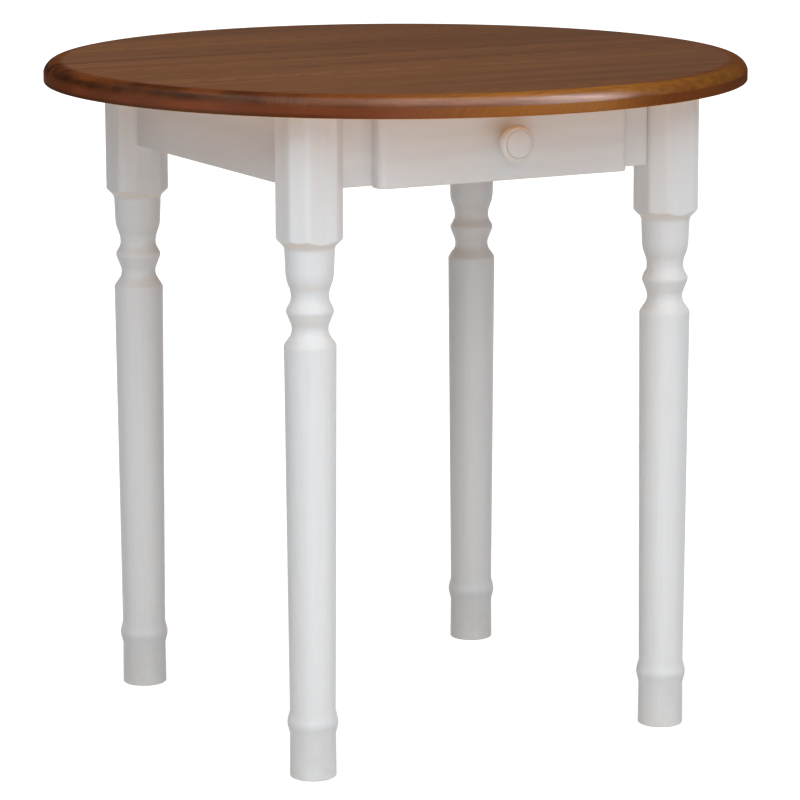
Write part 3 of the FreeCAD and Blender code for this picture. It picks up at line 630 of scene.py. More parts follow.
@dataclass(frozen=True)
class Plywood(Finish):
    """Birch plywood of the drawer's bottom."""

    slot = Slot.PLY
    log: Log = Log(Along.X, (0.02, 0.0), seed=4.0)
    pale: Colour = (0.700, 0.560, 0.390, 1.0)
    dark: Colour = (0.560, 0.400, 0.240, 1.0)
    wave_dark: Ramp = (0.35, 0.7)
    fibre_dark: Ramp = (0.62, 0.8, 0.0, 0.5)

    @cache
    def material(self) -> Material:
        """Build the material.

        Returns:
            The material.
        """
        graph = Graph("birch_plywood")
        waves = self.log.bands(graph, 26.0)
        fibres = self.log.fibres(graph, 600.0)
        colour = graph.lay(self.pale, self.dark, waves, self.wave_dark)
        colour = graph.lay(colour, self.dark, fibres, self.fibre_dark)
        return graph.finish(
            Base_Color=colour,
            Roughness=graph.spread(fibres, 0.2, 0.8, 0.55, 0.7),
            Specular_IOR_Level=0.30,
            Normal=graph.bump(fibres, strength=0.25, depth=0.15 * MM),
        )


@dataclass(frozen=True)
class Beech(Finish):
    """Turned beech of the dowels, with short dark flecks."""

    slot = Slot.BEECH
    pale: Colour = (0.640, 0.430, 0.260, 1.0)
    dark: Colour = (0.400, 0.225, 0.115, 1.0)
    broad_dark: Ramp = (0.3, 0.7, 0.0, 0.5)
    fleck_dark: Ramp = (0.6, 0.75, 0.0, 0.7)

    @cache
    def material(self) -> Material:
        """Build the material.

        Returns:
            The material.
        """
        graph = Graph("beech")
        flecks = graph.noise(graph.place, detail=3.0, roughness=0.6, scale=1500.0)
        broad = graph.noise(graph.place, scale=160.0)
        colour = graph.lay(self.pale, self.dark, broad, self.broad_dark)
        colour = graph.lay(colour, self.dark, flecks, self.fleck_dark)
        return graph.finish(
            Base_Color=colour,
            Roughness=graph.spread(flecks, 0.3, 0.7, 0.5, 0.65),
            Normal=graph.bump(flecks, strength=0.2, depth=0.1 * MM),
        )


@dataclass(frozen=True)
class ZincSteel(Finish):
    """Zinc-plated steel of the bolts, washers, nuts and screws."""

    slot = Slot.STEEL
    bright: Colour = (0.660, 0.655, 0.640, 1.0)
    dull: Colour = (0.470, 0.465, 0.450, 1.0)
    cloud_dull: Ramp = (0.35, 0.7)

    @cache
    def material(self) -> Material:
        """Build the material.

        Returns:
            The material.
        """
        graph = Graph("zinc_steel")
        cloud = graph.noise(graph.place, detail=3.0, roughness=0.6, scale=350.0)
        scratch = graph.noise(graph.scaled((300.0, 2400.0, 900.0)), roughness=0.6)
        return graph.finish(
            Base_Color=graph.lay(self.bright, self.dull, cloud, self.cloud_dull),
            Metallic=1.0,
            Roughness=graph.spread(cloud, 0.3, 0.7, 0.26, 0.44),
            Normal=graph.bump(scratch, strength=0.15, depth=0.05 * MM),
        )


LEVEL_PAINT = WhitePaint(Log(Along.X, seed=2.0), ridge=0.45 * MM)
SIDE_PAINT = WhitePaint(Log(Along.Y, seed=5.0))
UPRIGHT_PAINT = WhitePaint(Log(Along.Z, seed=9.0))


def dress(finish: Finish, *nodes: str) -> None:
    """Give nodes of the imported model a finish.

    Args:
        finish: The finish.
        nodes: Names of the nodes.
    """
    for name in nodes:
        for slot in FRAME["nodes"][name].material_slots:
            slot.material = finish.material()
        LOG.info("%s: dressed with %s", name, finish.material().name)


class Skin:
    """Points and faces of one piece, gathered row by row."""

    flat_turn = 4.0
    sharp_turn = 18.0

    def __init__(self, *bodies: Rows) -> None:
        """Start with bodies of rows, or with nothing.

        Args:
            bodies: The rows of each body.
        """
        self.points: list[Point] = []
        self.faces: list[tuple[int, ...]] = []
        for rows in bodies:
            self.loft(rows)

    def loft(self, rows: Rows) -> None:
        """Join the rows of a body, which each go once round it, and close both ends.

        Args:
            rows: Rows of equally many points, from one end to the other.
        """
        first = len(self.points)
        count = len(rows[0])
        for row in rows:
            self.points.extend(row)
        last = first + (len(rows) - 1) * count
        for level in range(first, last, count):
            for place in range(count):
                a = level + place
                b = level + (place + 1) % count
                self.faces.append((a, b, b + count, a + count))
        self.faces.append(tuple(reversed(range(first, first + count))))
        self.faces.append(tuple(range(last, last + count)))

    def piece(self, name: str, finish: Finish, carrier: Carrier, *nodes: str, crease: float = 34.0) -> None:
        """Make the piece, with smooth faces between its sharp edges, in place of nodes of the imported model.

        Args:
            name: Name of the piece.
            finish: Its finish.
            carrier: Body it moves with.
            nodes: Nodes it stands for.
            crease: Turn in degrees from which an edge is sharp.
        """
        sheet = bmesh.new()
        corners = [sheet.verts.new(point) for point in self.points]
        for face in self.faces:
            sheet.faces.new([corners[number] for number in face])
        bmesh.ops.recalc_face_normals(sheet, faces=sheet.faces)
        sheet.normal_update()
        sharpness = [self.sharpness(corner) for corner in sheet.verts]
        mesh = bpy.data.meshes.new(name)
        sheet.to_mesh(mesh)
        sheet.free()
        mesh.attributes.new(ARRIS, "FLOAT", "POINT").data.foreach_set("value", sharpness)
        mesh.shade_smooth()
        mesh.set_sharp_from_angle(angle=math.radians(crease))
        mesh.materials.append(finish.material())
        piece = bpy.data.objects.new(name, mesh)
        bpy.context.scene.collection.objects.link(piece)
        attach(piece, carrier.value)
        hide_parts(*nodes)
        LOG.info("%s: %d faces, for %s", name, len(mesh.polygons), ", ".join(nodes))

    def sharpness(self, corner: bmesh.types.BMVert) -> float:
        """Rate a corner from 0 on a flat or gently curved face to 1 on a sharp edge."""
        turn = math.degrees(min(corner.normal.angle(face.normal, 0.0) for face in corner.link_faces))
        return min(1.0, max(0.0, (turn - self.flat_turn) / (self.sharp_turn - self.flat_turn)))


def quarter_round(steps: int) -> list[Pair]:
    """Drop and inset of each step of a quarter round of radius 1, from its end to its side."""
    angles = [QUARTER_TURN * step / steps for step in range(steps + 1)]
    return [(1 - math.cos(angle), 1 - math.sin(angle)) for angle in angles]


def turned(origin: Point, axis: Vector, count: int, levels: Sequence[Level],
           form: Callable[[Level, float], Pair]) -> Rows:
    """Rows of points round an axis.

    Args:
        origin: Where heights are zero, in metres.
        axis: Direction of heights.
        count: Points round each row.
        levels: What sets each row apart, such as its height.
        form: Gives the radius and height at a level and an angle.

    Returns:
        The rows, in metres.
    """
    turn = UP.rotation_difference(axis).to_matrix()
    rows = []
    for level in levels:
        row = []
        for number in range(count):
            angle = FULL_TURN * number / count
            radius, height = form(level, angle)
            spot = Vector((radius * math.cos(angle), radius * math.sin(angle), height)) * MM
            row.append(tuple(Vector(origin) + turn @ spot))
        rows.append(row)
    return rows


class Profile:
    """An outline of radius and height, drawn run by run from its first point."""

    def __init__(self, radius: float, height: float) -> None:
        """Start the outline at a radius and height."""
        self.points: list[Pair] = [(radius, height)]

    def line(self, radius: float, height: float) -> Profile:
        """Go straight to a radius and height."""
        self.points.append((radius, height))
        return self

    def arc(self, radius: float, height: float, centre: Pair, steps: int) -> Profile:
        """Go along an arc to a radius and height.

        Args:
            radius: Radius at its end.
            height: Height at its end.
            centre: Centre of the arc.
            steps: Number of straight steps.

        Returns:
            The outline.
        """
        start = self.points[-1]
        first = math.atan2(start[1] - centre[1], start[0] - centre[0])
        last = math.atan2(height - centre[1], radius - centre[0])
        turn = (last - first + math.pi) % FULL_TURN - math.pi
        reach = math.dist(start, centre)
        for step in range(1, steps + 1):
            angle = first + turn * step / steps
            self.points.append((centre[0] + reach * math.cos(angle), centre[1] + reach * math.sin(angle)))
        return self

    def reach(self, radius: float, height: float, run: float) -> float:
        """Radius of an arc to a radius and height whose centre lies along a run between its ends."""
        return math.dist(self.points[-1], (radius, height)) ** 2 / (2 * run)

    def level_start(self, radius: float, height: float, steps: int = 8) -> Profile:
        """Go along an arc whose centre is level with its start."""
        last, level = self.points[-1]
        return self.arc(radius, height, (last + self.reach(radius, height, radius - last), level), steps)

    def level_end(self, radius: float, height: float, steps: int = 8) -> Profile:
        """Go along an arc whose centre is level with its end."""
        reach = self.reach(radius, height, radius - self.points[-1][0])
        return self.arc(radius, height, (radius - reach, height), steps)

    def upright_end(self, radius: float, height: float, steps: int = 8) -> Profile:
        """Go along an arc whose centre is straight below or above its end."""
        reach = self.reach(radius, height, height - self.points[-1][1])
        return self.arc(radius, height, (radius, height - reach), steps)

    def crest(self, height: float, rise: float, steps: int = 6) -> Profile:
        """Go up to a height over a rounded crest.

        Args:
            height: Height at its end.
            rise: How far the crest stands proud.
            steps: Number of straight steps.

        Returns:
            The outline.
        """
        start = self.points[-1]
        half = (height - start[1]) / 2
        reach = (half ** 2 + rise ** 2) / (2 * rise)
        return self.arc(start[0], height, (start[0] + rise - reach, start[1] + half), steps)

    def spun(self, origin: Point, axis: Vector, count: int) -> Rows:
        """Turn the outline about an axis from an origin in metres, with a count of points round each row."""
        return turned(origin, axis, count, self.points, lambda level, angle: level)


@dataclass(frozen=True)
class Bar:
    """A straight board with eased edges between two corners of its box.

    The four eases belong to its long edges, in turning order from the lowest corner of its section.
    """

    low: Point
    high: Point
    along: Along
    eases: tuple[float, float, float, float] = (0.8, 0.8, 0.8, 0.8)
    end_ease: float = 0.6
    least_ease: float = 0.05
    steps: int = 4

    def section(self, inset: float) -> list[Pair]:
        """The board's section.

        Args:
            inset: How far it is drawn in all round.

        Returns:
            Points once round it.
        """
        first, second = self.along.across()
        left, right = self.low[first] + inset, self.high[first] - inset
        bottom, top = self.low[second] + inset, self.high[second] - inset
        corners = ((left, bottom, 1, 1), (right, bottom, -1, 1), (right, top, -1, -1), (left, top, 1, -1))
        points = []
        for number, (across, up, way_across, way_up) in enumerate(corners):
            ease = max(self.eases[number] - inset, self.least_ease)
            for step in range(self.steps + 1):
                angle = math.pi + (number + step / self.steps) * QUARTER_TURN
                aside, above = way_across + math.cos(angle), way_up + math.sin(angle)
                points.append((across + ease * aside, up + ease * above))
        return points

    def piece(self, node: str, finish: Finish, carrier: Carrier, how: str = "eased") -> None:
        """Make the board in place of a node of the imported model.

        Args:
            node: The node.
            finish: Finish of the board.
            carrier: Body it moves with.
            how: Word that its name starts with, before the node's.
        """
        start, end = self.low[self.along.value], self.high[self.along.value]
        ease, quarter = self.end_ease, quarter_round(self.steps)
        stations = [(start + ease * drop, ease * inset) for drop, inset in quarter]
        stations += [(end - ease * drop, ease * inset) for drop, inset in reversed(quarter)]
        first, second = self.along.across()
        rows = []
        for station, inset in stations:
            row = []
            for across, up in self.section(inset):
                spot = [station * MM] * 3
                spot[first] = across * MM
                spot[second] = up * MM
                row.append(tuple(spot))
            rows.append(row)
        Skin(rows).piece(f"{how}_{node}", finish, carrier, node)


@dataclass(frozen=True)
class RoundTop:
    """The round top: edge-glued boards with a moulded rim.

    For each board, hearts tells how far aside of the board's middle the heart of its log lies, how high it
    lies, and how it leans across and up.
    """

    height: float = 760.0
    radius: float = 400.0
    thickness: float = 24.0
    rim_drop: float = 12.5
    rim_run: float = 16.0
    lower_ease: float = 1.5
    band_step: float = 4.0
    joint: float = 0.25
    fineness: float = 0.45
    fewest: int = 12
    crease: float = 15.0
    ring: float = 2.4
    ring_more: float = 0.25
    ring_kinds: int = 4
    seed_step: float = 3.1
    prefix: str = "moulded_top_board"
    hearts: tuple[Numbers, ...] = (
        (12, 640, 0.020, 0.060), (-12, 742, 0.010, 0.015), (25, 850, 0.015, 0.050),
        (-8, 855, 0.025, -0.060), (-22, 650, -0.020, 0.035), (15, 660, 0.010, -0.050),
        (-12, 850, -0.015, 0.055), (20, 655, 0.030, 0.040))
    tones: Numbers = (0.90, 0.96, 1.08, 1.00, 1.05, 0.94, 1.04, 0.98)

    def rim(self) -> list[Point]:
        """Draw the rim.

        Returns:
            Radius, height and joint inset of each row, from the underside up.
        """
        low = self.height - self.thickness
        outline = Profile(self.radius - self.lower_ease, low)
        outline.level_end(self.radius, low + self.lower_ease, 7).line(self.radius, low + self.band_step)
        outline.line(self.radius, self.height - self.rim_drop)
        outline.upright_end(self.radius - self.rim_run, self.height, 16)
        rows = []
        for radius, height in outline.points:
            on_face = min(height - low, self.height - height) < 0.01
            rows.append((radius, height, self.joint if on_face else 0.0))
        return rows

    def near(self, number: int) -> float:
        """Where the front edge of a board lies, from 1 at the front."""
        return -self.radius + (number - 1) * 2 * self.radius / len(self.hearts)

    def outline(self, number: int, radius: float, height: float, inset: float) -> list[Point]:
        """Edge of one board at one row of the rim.

        Args:
            number: The board, from 1 at the front.
            radius: Radius of the row.
            height: Height of the row.
            inset: How far the glued edges are drawn in.

        Returns:
            Points once round the board, in metres.
        """
        first, last = number == 1, number == len(self.hearts)
        near, far = self.near(number), self.near(number + 1)
        arc = math.degrees(math.asin(far / self.radius) - math.asin(near / self.radius))
        count = max(self.fewest, round(arc / self.fineness))
        low = -QUARTER_TURN if first else math.asin((near + inset) / radius)
        high = QUARTER_TURN if last else math.asin((far - inset) / radius)
        right = [low + (high - low) * step / count for step in range(count + 1)]
        left = [math.pi - angle for angle in reversed(right)]
        around = right + left[1 if last else 0:-1 if first else None]
        return [(radius * math.cos(a) * MM, radius * math.sin(a) * MM, height * MM) for a in around]

    def build(self) -> None:
        """Make the boards, each sawn from another place in a log."""
        rim = self.rim()
        for number, (heart, tone) in enumerate(zip(self.hearts, self.tones), start=1):
            aside, high, *lean = heart
            middle = (self.near(number) + self.near(number + 1)) / 2
            ring = (self.ring + self.ring_more * (number % self.ring_kinds)) * MM
            seed = self.seed_step * number
            log = Log(Along.X, ((middle + aside) * MM, high * MM), tuple(lean), ring, seed)
            skin = Skin([self.outline(number, *row) for row in rim])
            skin.piece(f"{self.prefix}_{number}", StainedPine(number, log, tone), Carrier.FRAME,
                       f"top_board_{number}", crease=self.crease)


@dataclass(frozen=True)
class TurnedLeg:
    """A leg turned from a square blank with chamfered corners."""

    offset: float = 224.0
    block: float = 65.0
    chamfer: float = 15.0
    corner_round: float = 8.0
    round_steps: int = 6
    face_steps: tuple[int, int] = (5, 8)
    block_foot: float = 593.0
    block_top: float = 736.0
    shoulder: float = 6.0
    shoulder_step: float = 0.4
    arris_ease: float = 0.35
    top_ease: float = 0.4
    lower_row: float = 602.0
    upper_row: float = 676.0

    def turning(self) -> list[Pair]:
        """Draw the turned part, from the floor up to the shoulder under the block.

        Returns:
            The radius and height of each row.
        """
        outline = Profile(24.5, 0.0).line(25.0, 0.35).line(25.7, 1.2).line(25.3, 48.5)
        outline.line(27.45, 57.0).crest(66.0, 0.55).line(25.15, 74.5)
        outline.line(28.5, 479.0).level_start(27.6, 482.9, 6)
        outline.line(22.7, 490.0).level_end(20.0, 498.5).level_start(21.3, 505.0)
        outline.line(25.5, 515.8).crest(521.2, 0.5)
        outline.line(22.4, 527.0).level_end(20.75, 534.0)
        outline.level_start(23.05, 545.5, 10).level_end(26.4, 562.0, 10)
        outline.line(27.3, 584.0).level_start(29.987, 590.487)
        return outline.points

    def square(self) -> list[Pair]:
        """Draw the block's section.

        Returns:
            The direction and distance of each point round it.
        """
        reaches = (self.block / 2, (self.block - self.chamfer) / math.sqrt(2))
        centres = []
        for number in range(8):
            near, far = (reaches[side % 2] - self.corner_round for side in (number, number + 1))
            meet = cmath.rect(near, (number + 1) * EIGHTH_TURN) - cmath.rect(far, number * EIGHTH_TURN)
            centres.append(-1j * meet / math.sin(EIGHTH_TURN))
        points = []
        for number, centre in enumerate(centres):
            turns = [number + step / self.round_steps for step in range(self.round_steps + 1)]
            points += [centre + cmath.rect(self.corner_round, turn * EIGHTH_TURN) for turn in turns]
            start = points[-1]
            end = centres[(number + 1) % 8] + cmath.rect(self.corner_round, (number + 1) * EIGHTH_TURN)
            count = self.face_steps[number % 2]
            points += [start + (end - start) * step / count for step in range(1, count)]
        return [(cmath.phase(point), abs(point)) for point in points]

    def rows(self, x: float, y: float) -> Rows:
        """Rows of points up the leg.

        Args:
            x: Place of its axis.
            y: Place of its axis.

        Returns:
            The rows, in metres.
        """
        square = self.square()
        rows = [[(angle, radius, height) for angle, reach in square] for radius, height in self.turning()]
        height = rows[-1][0][2]
        while height < self.block_foot + self.shoulder:
            height += self.shoulder_step
            cone = height - self.block_foot + self.block / 2
            rows.append([(angle, self.nearer(cone, reach), height) for angle, reach in square])
        for level in (self.lower_row, self.upper_row, self.block_top - self.top_ease):
            rows.append([(angle, reach, level) for angle, reach in square])
        rows.append([(angle, reach - self.top_ease, self.block_top) for angle, reach in square])
        return [[((x + radius * math.cos(angle)) * MM, (y + radius * math.sin(angle)) * MM, height * MM)
                 for angle, radius, height in row] for row in rows]

    def nearer(self, one: float, other: float) -> float:
        """The smaller of two radii, eased where they meet."""
        gap = abs(one - other) / self.arris_ease
        return min(one, other) - self.arris_ease * math.log1p(math.exp(-gap))

    def build(self) -> None:
        """Make the four legs."""
        for name, (side_x, side_y) in CORNERS.items():
            skin = Skin(self.rows(side_x * self.offset, side_y * self.offset))
            skin.piece(f"turned_leg_{name}", UPRIGHT_PAINT, Carrier.FRAME, f"leg_{name}")


@dataclass(frozen=True)
class ApronFrame:
    """Aprons between the legs, and the stiles and rails round the drawer opening."""

    inner_leg: float = 191.5
    outside: float = 237.0
    inside: float = 217.0
    low: float = 650.0
    top: float = 736.0
    opening: float = 126.23
    opening_low: float = 664.0
    opening_top: float = 717.0
    low_ease: float = 2.5
    top_ease: float = 0.5
    stile_corner: float = 4.0
    stile_ease: float = 1.0
    stile_end: float = 2.0
    end_ease: float = 0.3
    rail_end: float = 0.2
    rail_pine: BarePine = BarePine("front_rails", Log(Along.X, (-0.24, 0.60), (0.012, 0.02), 3.1 * MM, 18.0))

    def build(self) -> None:
        """Make the aprons, stiles and rails."""
        low, top, reach = self.low_ease, self.top_ease, self.inner_leg
        for name, side in SIDES.items():
            near, far = sorted((side * self.inside, side * self.outside))
            bar = Bar((near, -reach, self.low), (far, reach, self.top), Along.Y, (low, top, top, low),
                      self.end_ease)
            bar.piece(f"apron_{name}", SIDE_PAINT, Carrier.FRAME)
        bar = Bar((-reach, self.inside, self.low), (reach, self.outside, self.top), Along.X,
                  (low, low, top, top), self.end_ease)
        bar.piece("apron_back", LEVEL_PAINT, Carrier.FRAME)
        # Stiles, rounded at the low corner next to the leg
        for name, side in SIDES.items():
            near, far = sorted((side * self.opening, side * reach))
            corner, ease = self.stile_corner, self.stile_ease
            left, right = (corner, ease) if side < 0 else (ease, corner)
            bar = Bar((near, -self.outside, self.low), (far, -self.inside, self.top), Along.Y,
                      (left, top, top, right), self.stile_end)
            bar.piece(f"front_stile_{name}", LEVEL_PAINT, Carrier.FRAME)
        for name, low, high in (("top", self.opening_top, self.top), ("bottom", self.low, self.opening_low)):
            bar = Bar((-self.opening, -self.outside, low), (self.opening, -self.inside, high), Along.X,
                      end_ease=self.rail_end)
            bar.piece(f"front_rail_{name}", self.rail_pine, Carrier.FRAME)


@dataclass(frozen=True)
class Fixings:
    """Bolts, washers, nuts and screws that hold the frame together."""

    leg_offset: float = 224.0
    leg_corner: float = 35.355
    block_near: float = 41.355
    block_far: float = 61.355
    bolt_height: float = 712.0
    bolt_radius: float = 4.0
    bolt_depth: float = 50.0
    bolt_tail: float = 4.0
    bolt_point: float = 0.9
    pitch: float = 1.25
    pitch_steps: int = 6
    thread_depth: float = 0.55
    burr: float = 0.3
    washer_radius: float = 12.0
    washer_thickness: float = 1.6
    nut_half: float = 6.5
    nut_height: float = 6.5
    nut_levels: Numbers = (0.0, 0.25, 0.5, 0.8, 1.1)
    nut_face: float = 6.175
    nut_slope: float = 1.75
    head_radius: float = 4.0
    head_height: float = 3.0
    head_side: float = 1.6
    head_fall: float = 1.2
    head_curve: float = 2.4
    head_shares: Numbers = (0.97, 0.9, 0.8, 0.7, 0.62, 0.55, 0.48, 0.41, 0.34, 0.27, 0.2, 0.13, 0.06)
    recess_half: float = 0.5
    recess_reach: float = 2.1
    recess_depth: float = 1.1
    shank_radius: float = 2.1
    screw_length: float = 24.0
    tip_radius: float = 0.2
    tip_length: float = 5.0
    apron_seat: float = 207.0
    apron_reach: float = 162.0
    top_seat: float = 726.0
    top_spread: float = 16.0
    kicker_across: float = 134.23
    kicker_reach: float = 120.0

    @property
    def nut_seat(self) -> float:
        """Where a nut seats, from its leg's axis."""
        return self.block_far + self.washer_thickness

    @property
    def thread_length(self) -> float:
        """Length of a bolt outside its leg."""
        return self.nut_seat + self.nut_height + self.bolt_tail - self.leg_corner

    def on_diagonal(self, side_x: int, side_y: int, distance: float) -> Point:
        """A point at the bolts' height, a distance from a leg's axis towards the middle of the table."""
        inset = self.leg_offset - distance / math.sqrt(2)
        return side_x * inset * MM, side_y * inset * MM, self.bolt_height * MM

    def thread(self, height: float, angle: float) -> Pair:
        """Radius and height of the thread, which runs to a point."""
        crest = self.thread_depth * abs(2 * ((height / self.pitch - angle / FULL_TURN) % 1.0) - 1)
        return self.bolt_radius - crest - max(0.0, height - self.thread_length + self.bolt_point), height

    def hexagon(self, height: float, angle: float) -> Pair:
        """Radius and height of a nut, with its corners turned off at both faces."""
        cone = self.nut_face + self.nut_slope * min(height, self.nut_height - height)
        return min(cone, self.nut_half / math.cos(math.remainder(angle, SIXTH_TURN))), height

    def recessed(self, level: Pair, angle: float) -> Pair:
        """Radius and height of a screw's head, sunk where its cross recess is.

        Args:
            level: Radius and height without the recess.
            angle: The angle.

        Returns:
            The radius and the height.
        """
        radius, height = level
        narrow, wide = sorted((abs(radius * math.cos(angle)), abs(radius * math.sin(angle))))
        sunk = narrow < self.recess_half and wide < self.recess_reach and height > self.head_side + 0.1
        return radius, height - (self.recess_depth if sunk else 0.0)

    def screw(self, skin: Skin, seat: Point, drive: Vector) -> Skin:
        """Add a screw with a cross recess in its head.

        Args:
            skin: The skin it becomes part of.
            seat: Where its head seats.
            drive: Direction it is driven in.

        Returns:
            The skin.
        """
        origin = tuple(number * MM for number in seat)
        shank = Profile(self.shank_radius, 0.0).line(self.shank_radius, self.screw_length - self.tip_length)
        shank.line(self.tip_radius, self.screw_length)
        head = Profile(self.head_radius - self.burr, 0.0).line(self.head_radius, self.burr)
        head.line(self.head_radius, self.head_side)
        for share in self.head_shares:
            head.line(self.head_radius * share, self.head_height - self.head_fall * share ** self.head_curve)
        skin.loft(shank.spun(origin, drive, 24))
        skin.loft(turned(origin, -drive, 48, head.points, self.recessed))
        return skin

    def build(self) -> None:
        """Make the bolts, washers, nuts and screws."""
        steel = ZincSteel()
        bolts, washers, nuts, block_screws, top_screws = (Skin() for _ in range(5))
        core, burr = self.bolt_radius - self.burr, self.burr
        edge, thick = self.washer_radius, self.washer_thickness
        shank = Profile(core, 0.0).line(core, self.bolt_depth)
        disc = Profile(edge - burr, 0.0).line(edge, burr).line(edge, thick - burr).line(edge - burr, thick)
        count = int(self.thread_length / self.pitch * self.pitch_steps)
        levels = [self.thread_length * level / count for level in range(count + 1)]
        faces = [*self.nut_levels, *(self.nut_height - level for level in reversed(self.nut_levels))]
        for side_x, side_y in CORNERS.values():
            inward = Vector((-side_x, -side_y, 0)).normalized()
            distances = (self.leg_corner - self.bolt_depth, self.leg_corner, self.block_far, self.nut_seat)
            foot, corner, block, nut = (self.on_diagonal(side_x, side_y, distance) for distance in distances)
            bolts.loft(shank.spun(foot, inward, 20))
            bolts.loft(turned(corner, inward, 20, levels, self.thread))
            washers.loft(disc.spun(block, inward, 64))
            nuts.loft(turned(nut, inward, 72, faces, self.hexagon))
            ahead = (side_x * self.apron_reach, side_y * self.apron_seat, self.bolt_height)
            aside = (side_x * self.apron_seat, side_y * self.apron_reach, self.bolt_height)
            self.screw(block_screws, ahead, Vector((0, side_y, 0)))
            self.screw(block_screws, aside, Vector((side_x, 0, 0)))
            for across, along in self.under_top():
                self.screw(top_screws, (side_x * across, side_y * along, self.top_seat), UP)
        bolts.piece("threaded_hanger_bolts", steel, Carrier.FRAME, "hanger_bolts")
        washers.piece("pressed_bolt_washers", steel, Carrier.FRAME, "bolt_washers")
        nuts.piece("chamfered_bolt_nuts", steel, Carrier.FRAME, "bolt_nuts")
        block_screws.piece("cross_head_block_screws", steel, Carrier.FRAME, "corner_block_screws")
        top_screws.piece("cross_head_top_screws", steel, Carrier.FRAME, "top_screws")

    def under_top(self) -> list[Pair]:
        """Find the screws at one corner that go up into the top.

        Returns:
            How far across and along each is: two in the block, one in the kicker.
        """
        middle = self.leg_offset - (self.block_near + self.block_far) / 2 / math.sqrt(2)
        shift = self.top_spread / math.sqrt(2)
        in_block = [(middle + shift, middle - shift), (middle - shift, middle + shift)]
        return [*in_block, (self.kicker_across, self.kicker_reach)]


@dataclass(frozen=True)
class InnerFrame:
    """Corner blocks, strips that carry the drawer, and dowels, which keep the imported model's shapes."""

    block_pine: BarePine = BarePine("blocks", Log(Along.X, (0.02, 0.62), (0.05, 0.02), 3.4 * MM, 1.0))
    strip_pine: BarePine = BarePine("strips", Log(Along.Y, (0.66, 0.10), (0.01, 0.015), 2.8 * MM, 7.0))

    def build(self) -> None:
        """Dress the blocks, strips and dowels."""
        dress(self.block_pine, *(f"corner_block_{corner}" for corner in CORNERS))
        for part in ("guide", "runner", "kicker"):
            dress(self.strip_pine, *(f"drawer_{part}_{side}" for side in SIDES))
        dress(Beech(), "frame_dowels")


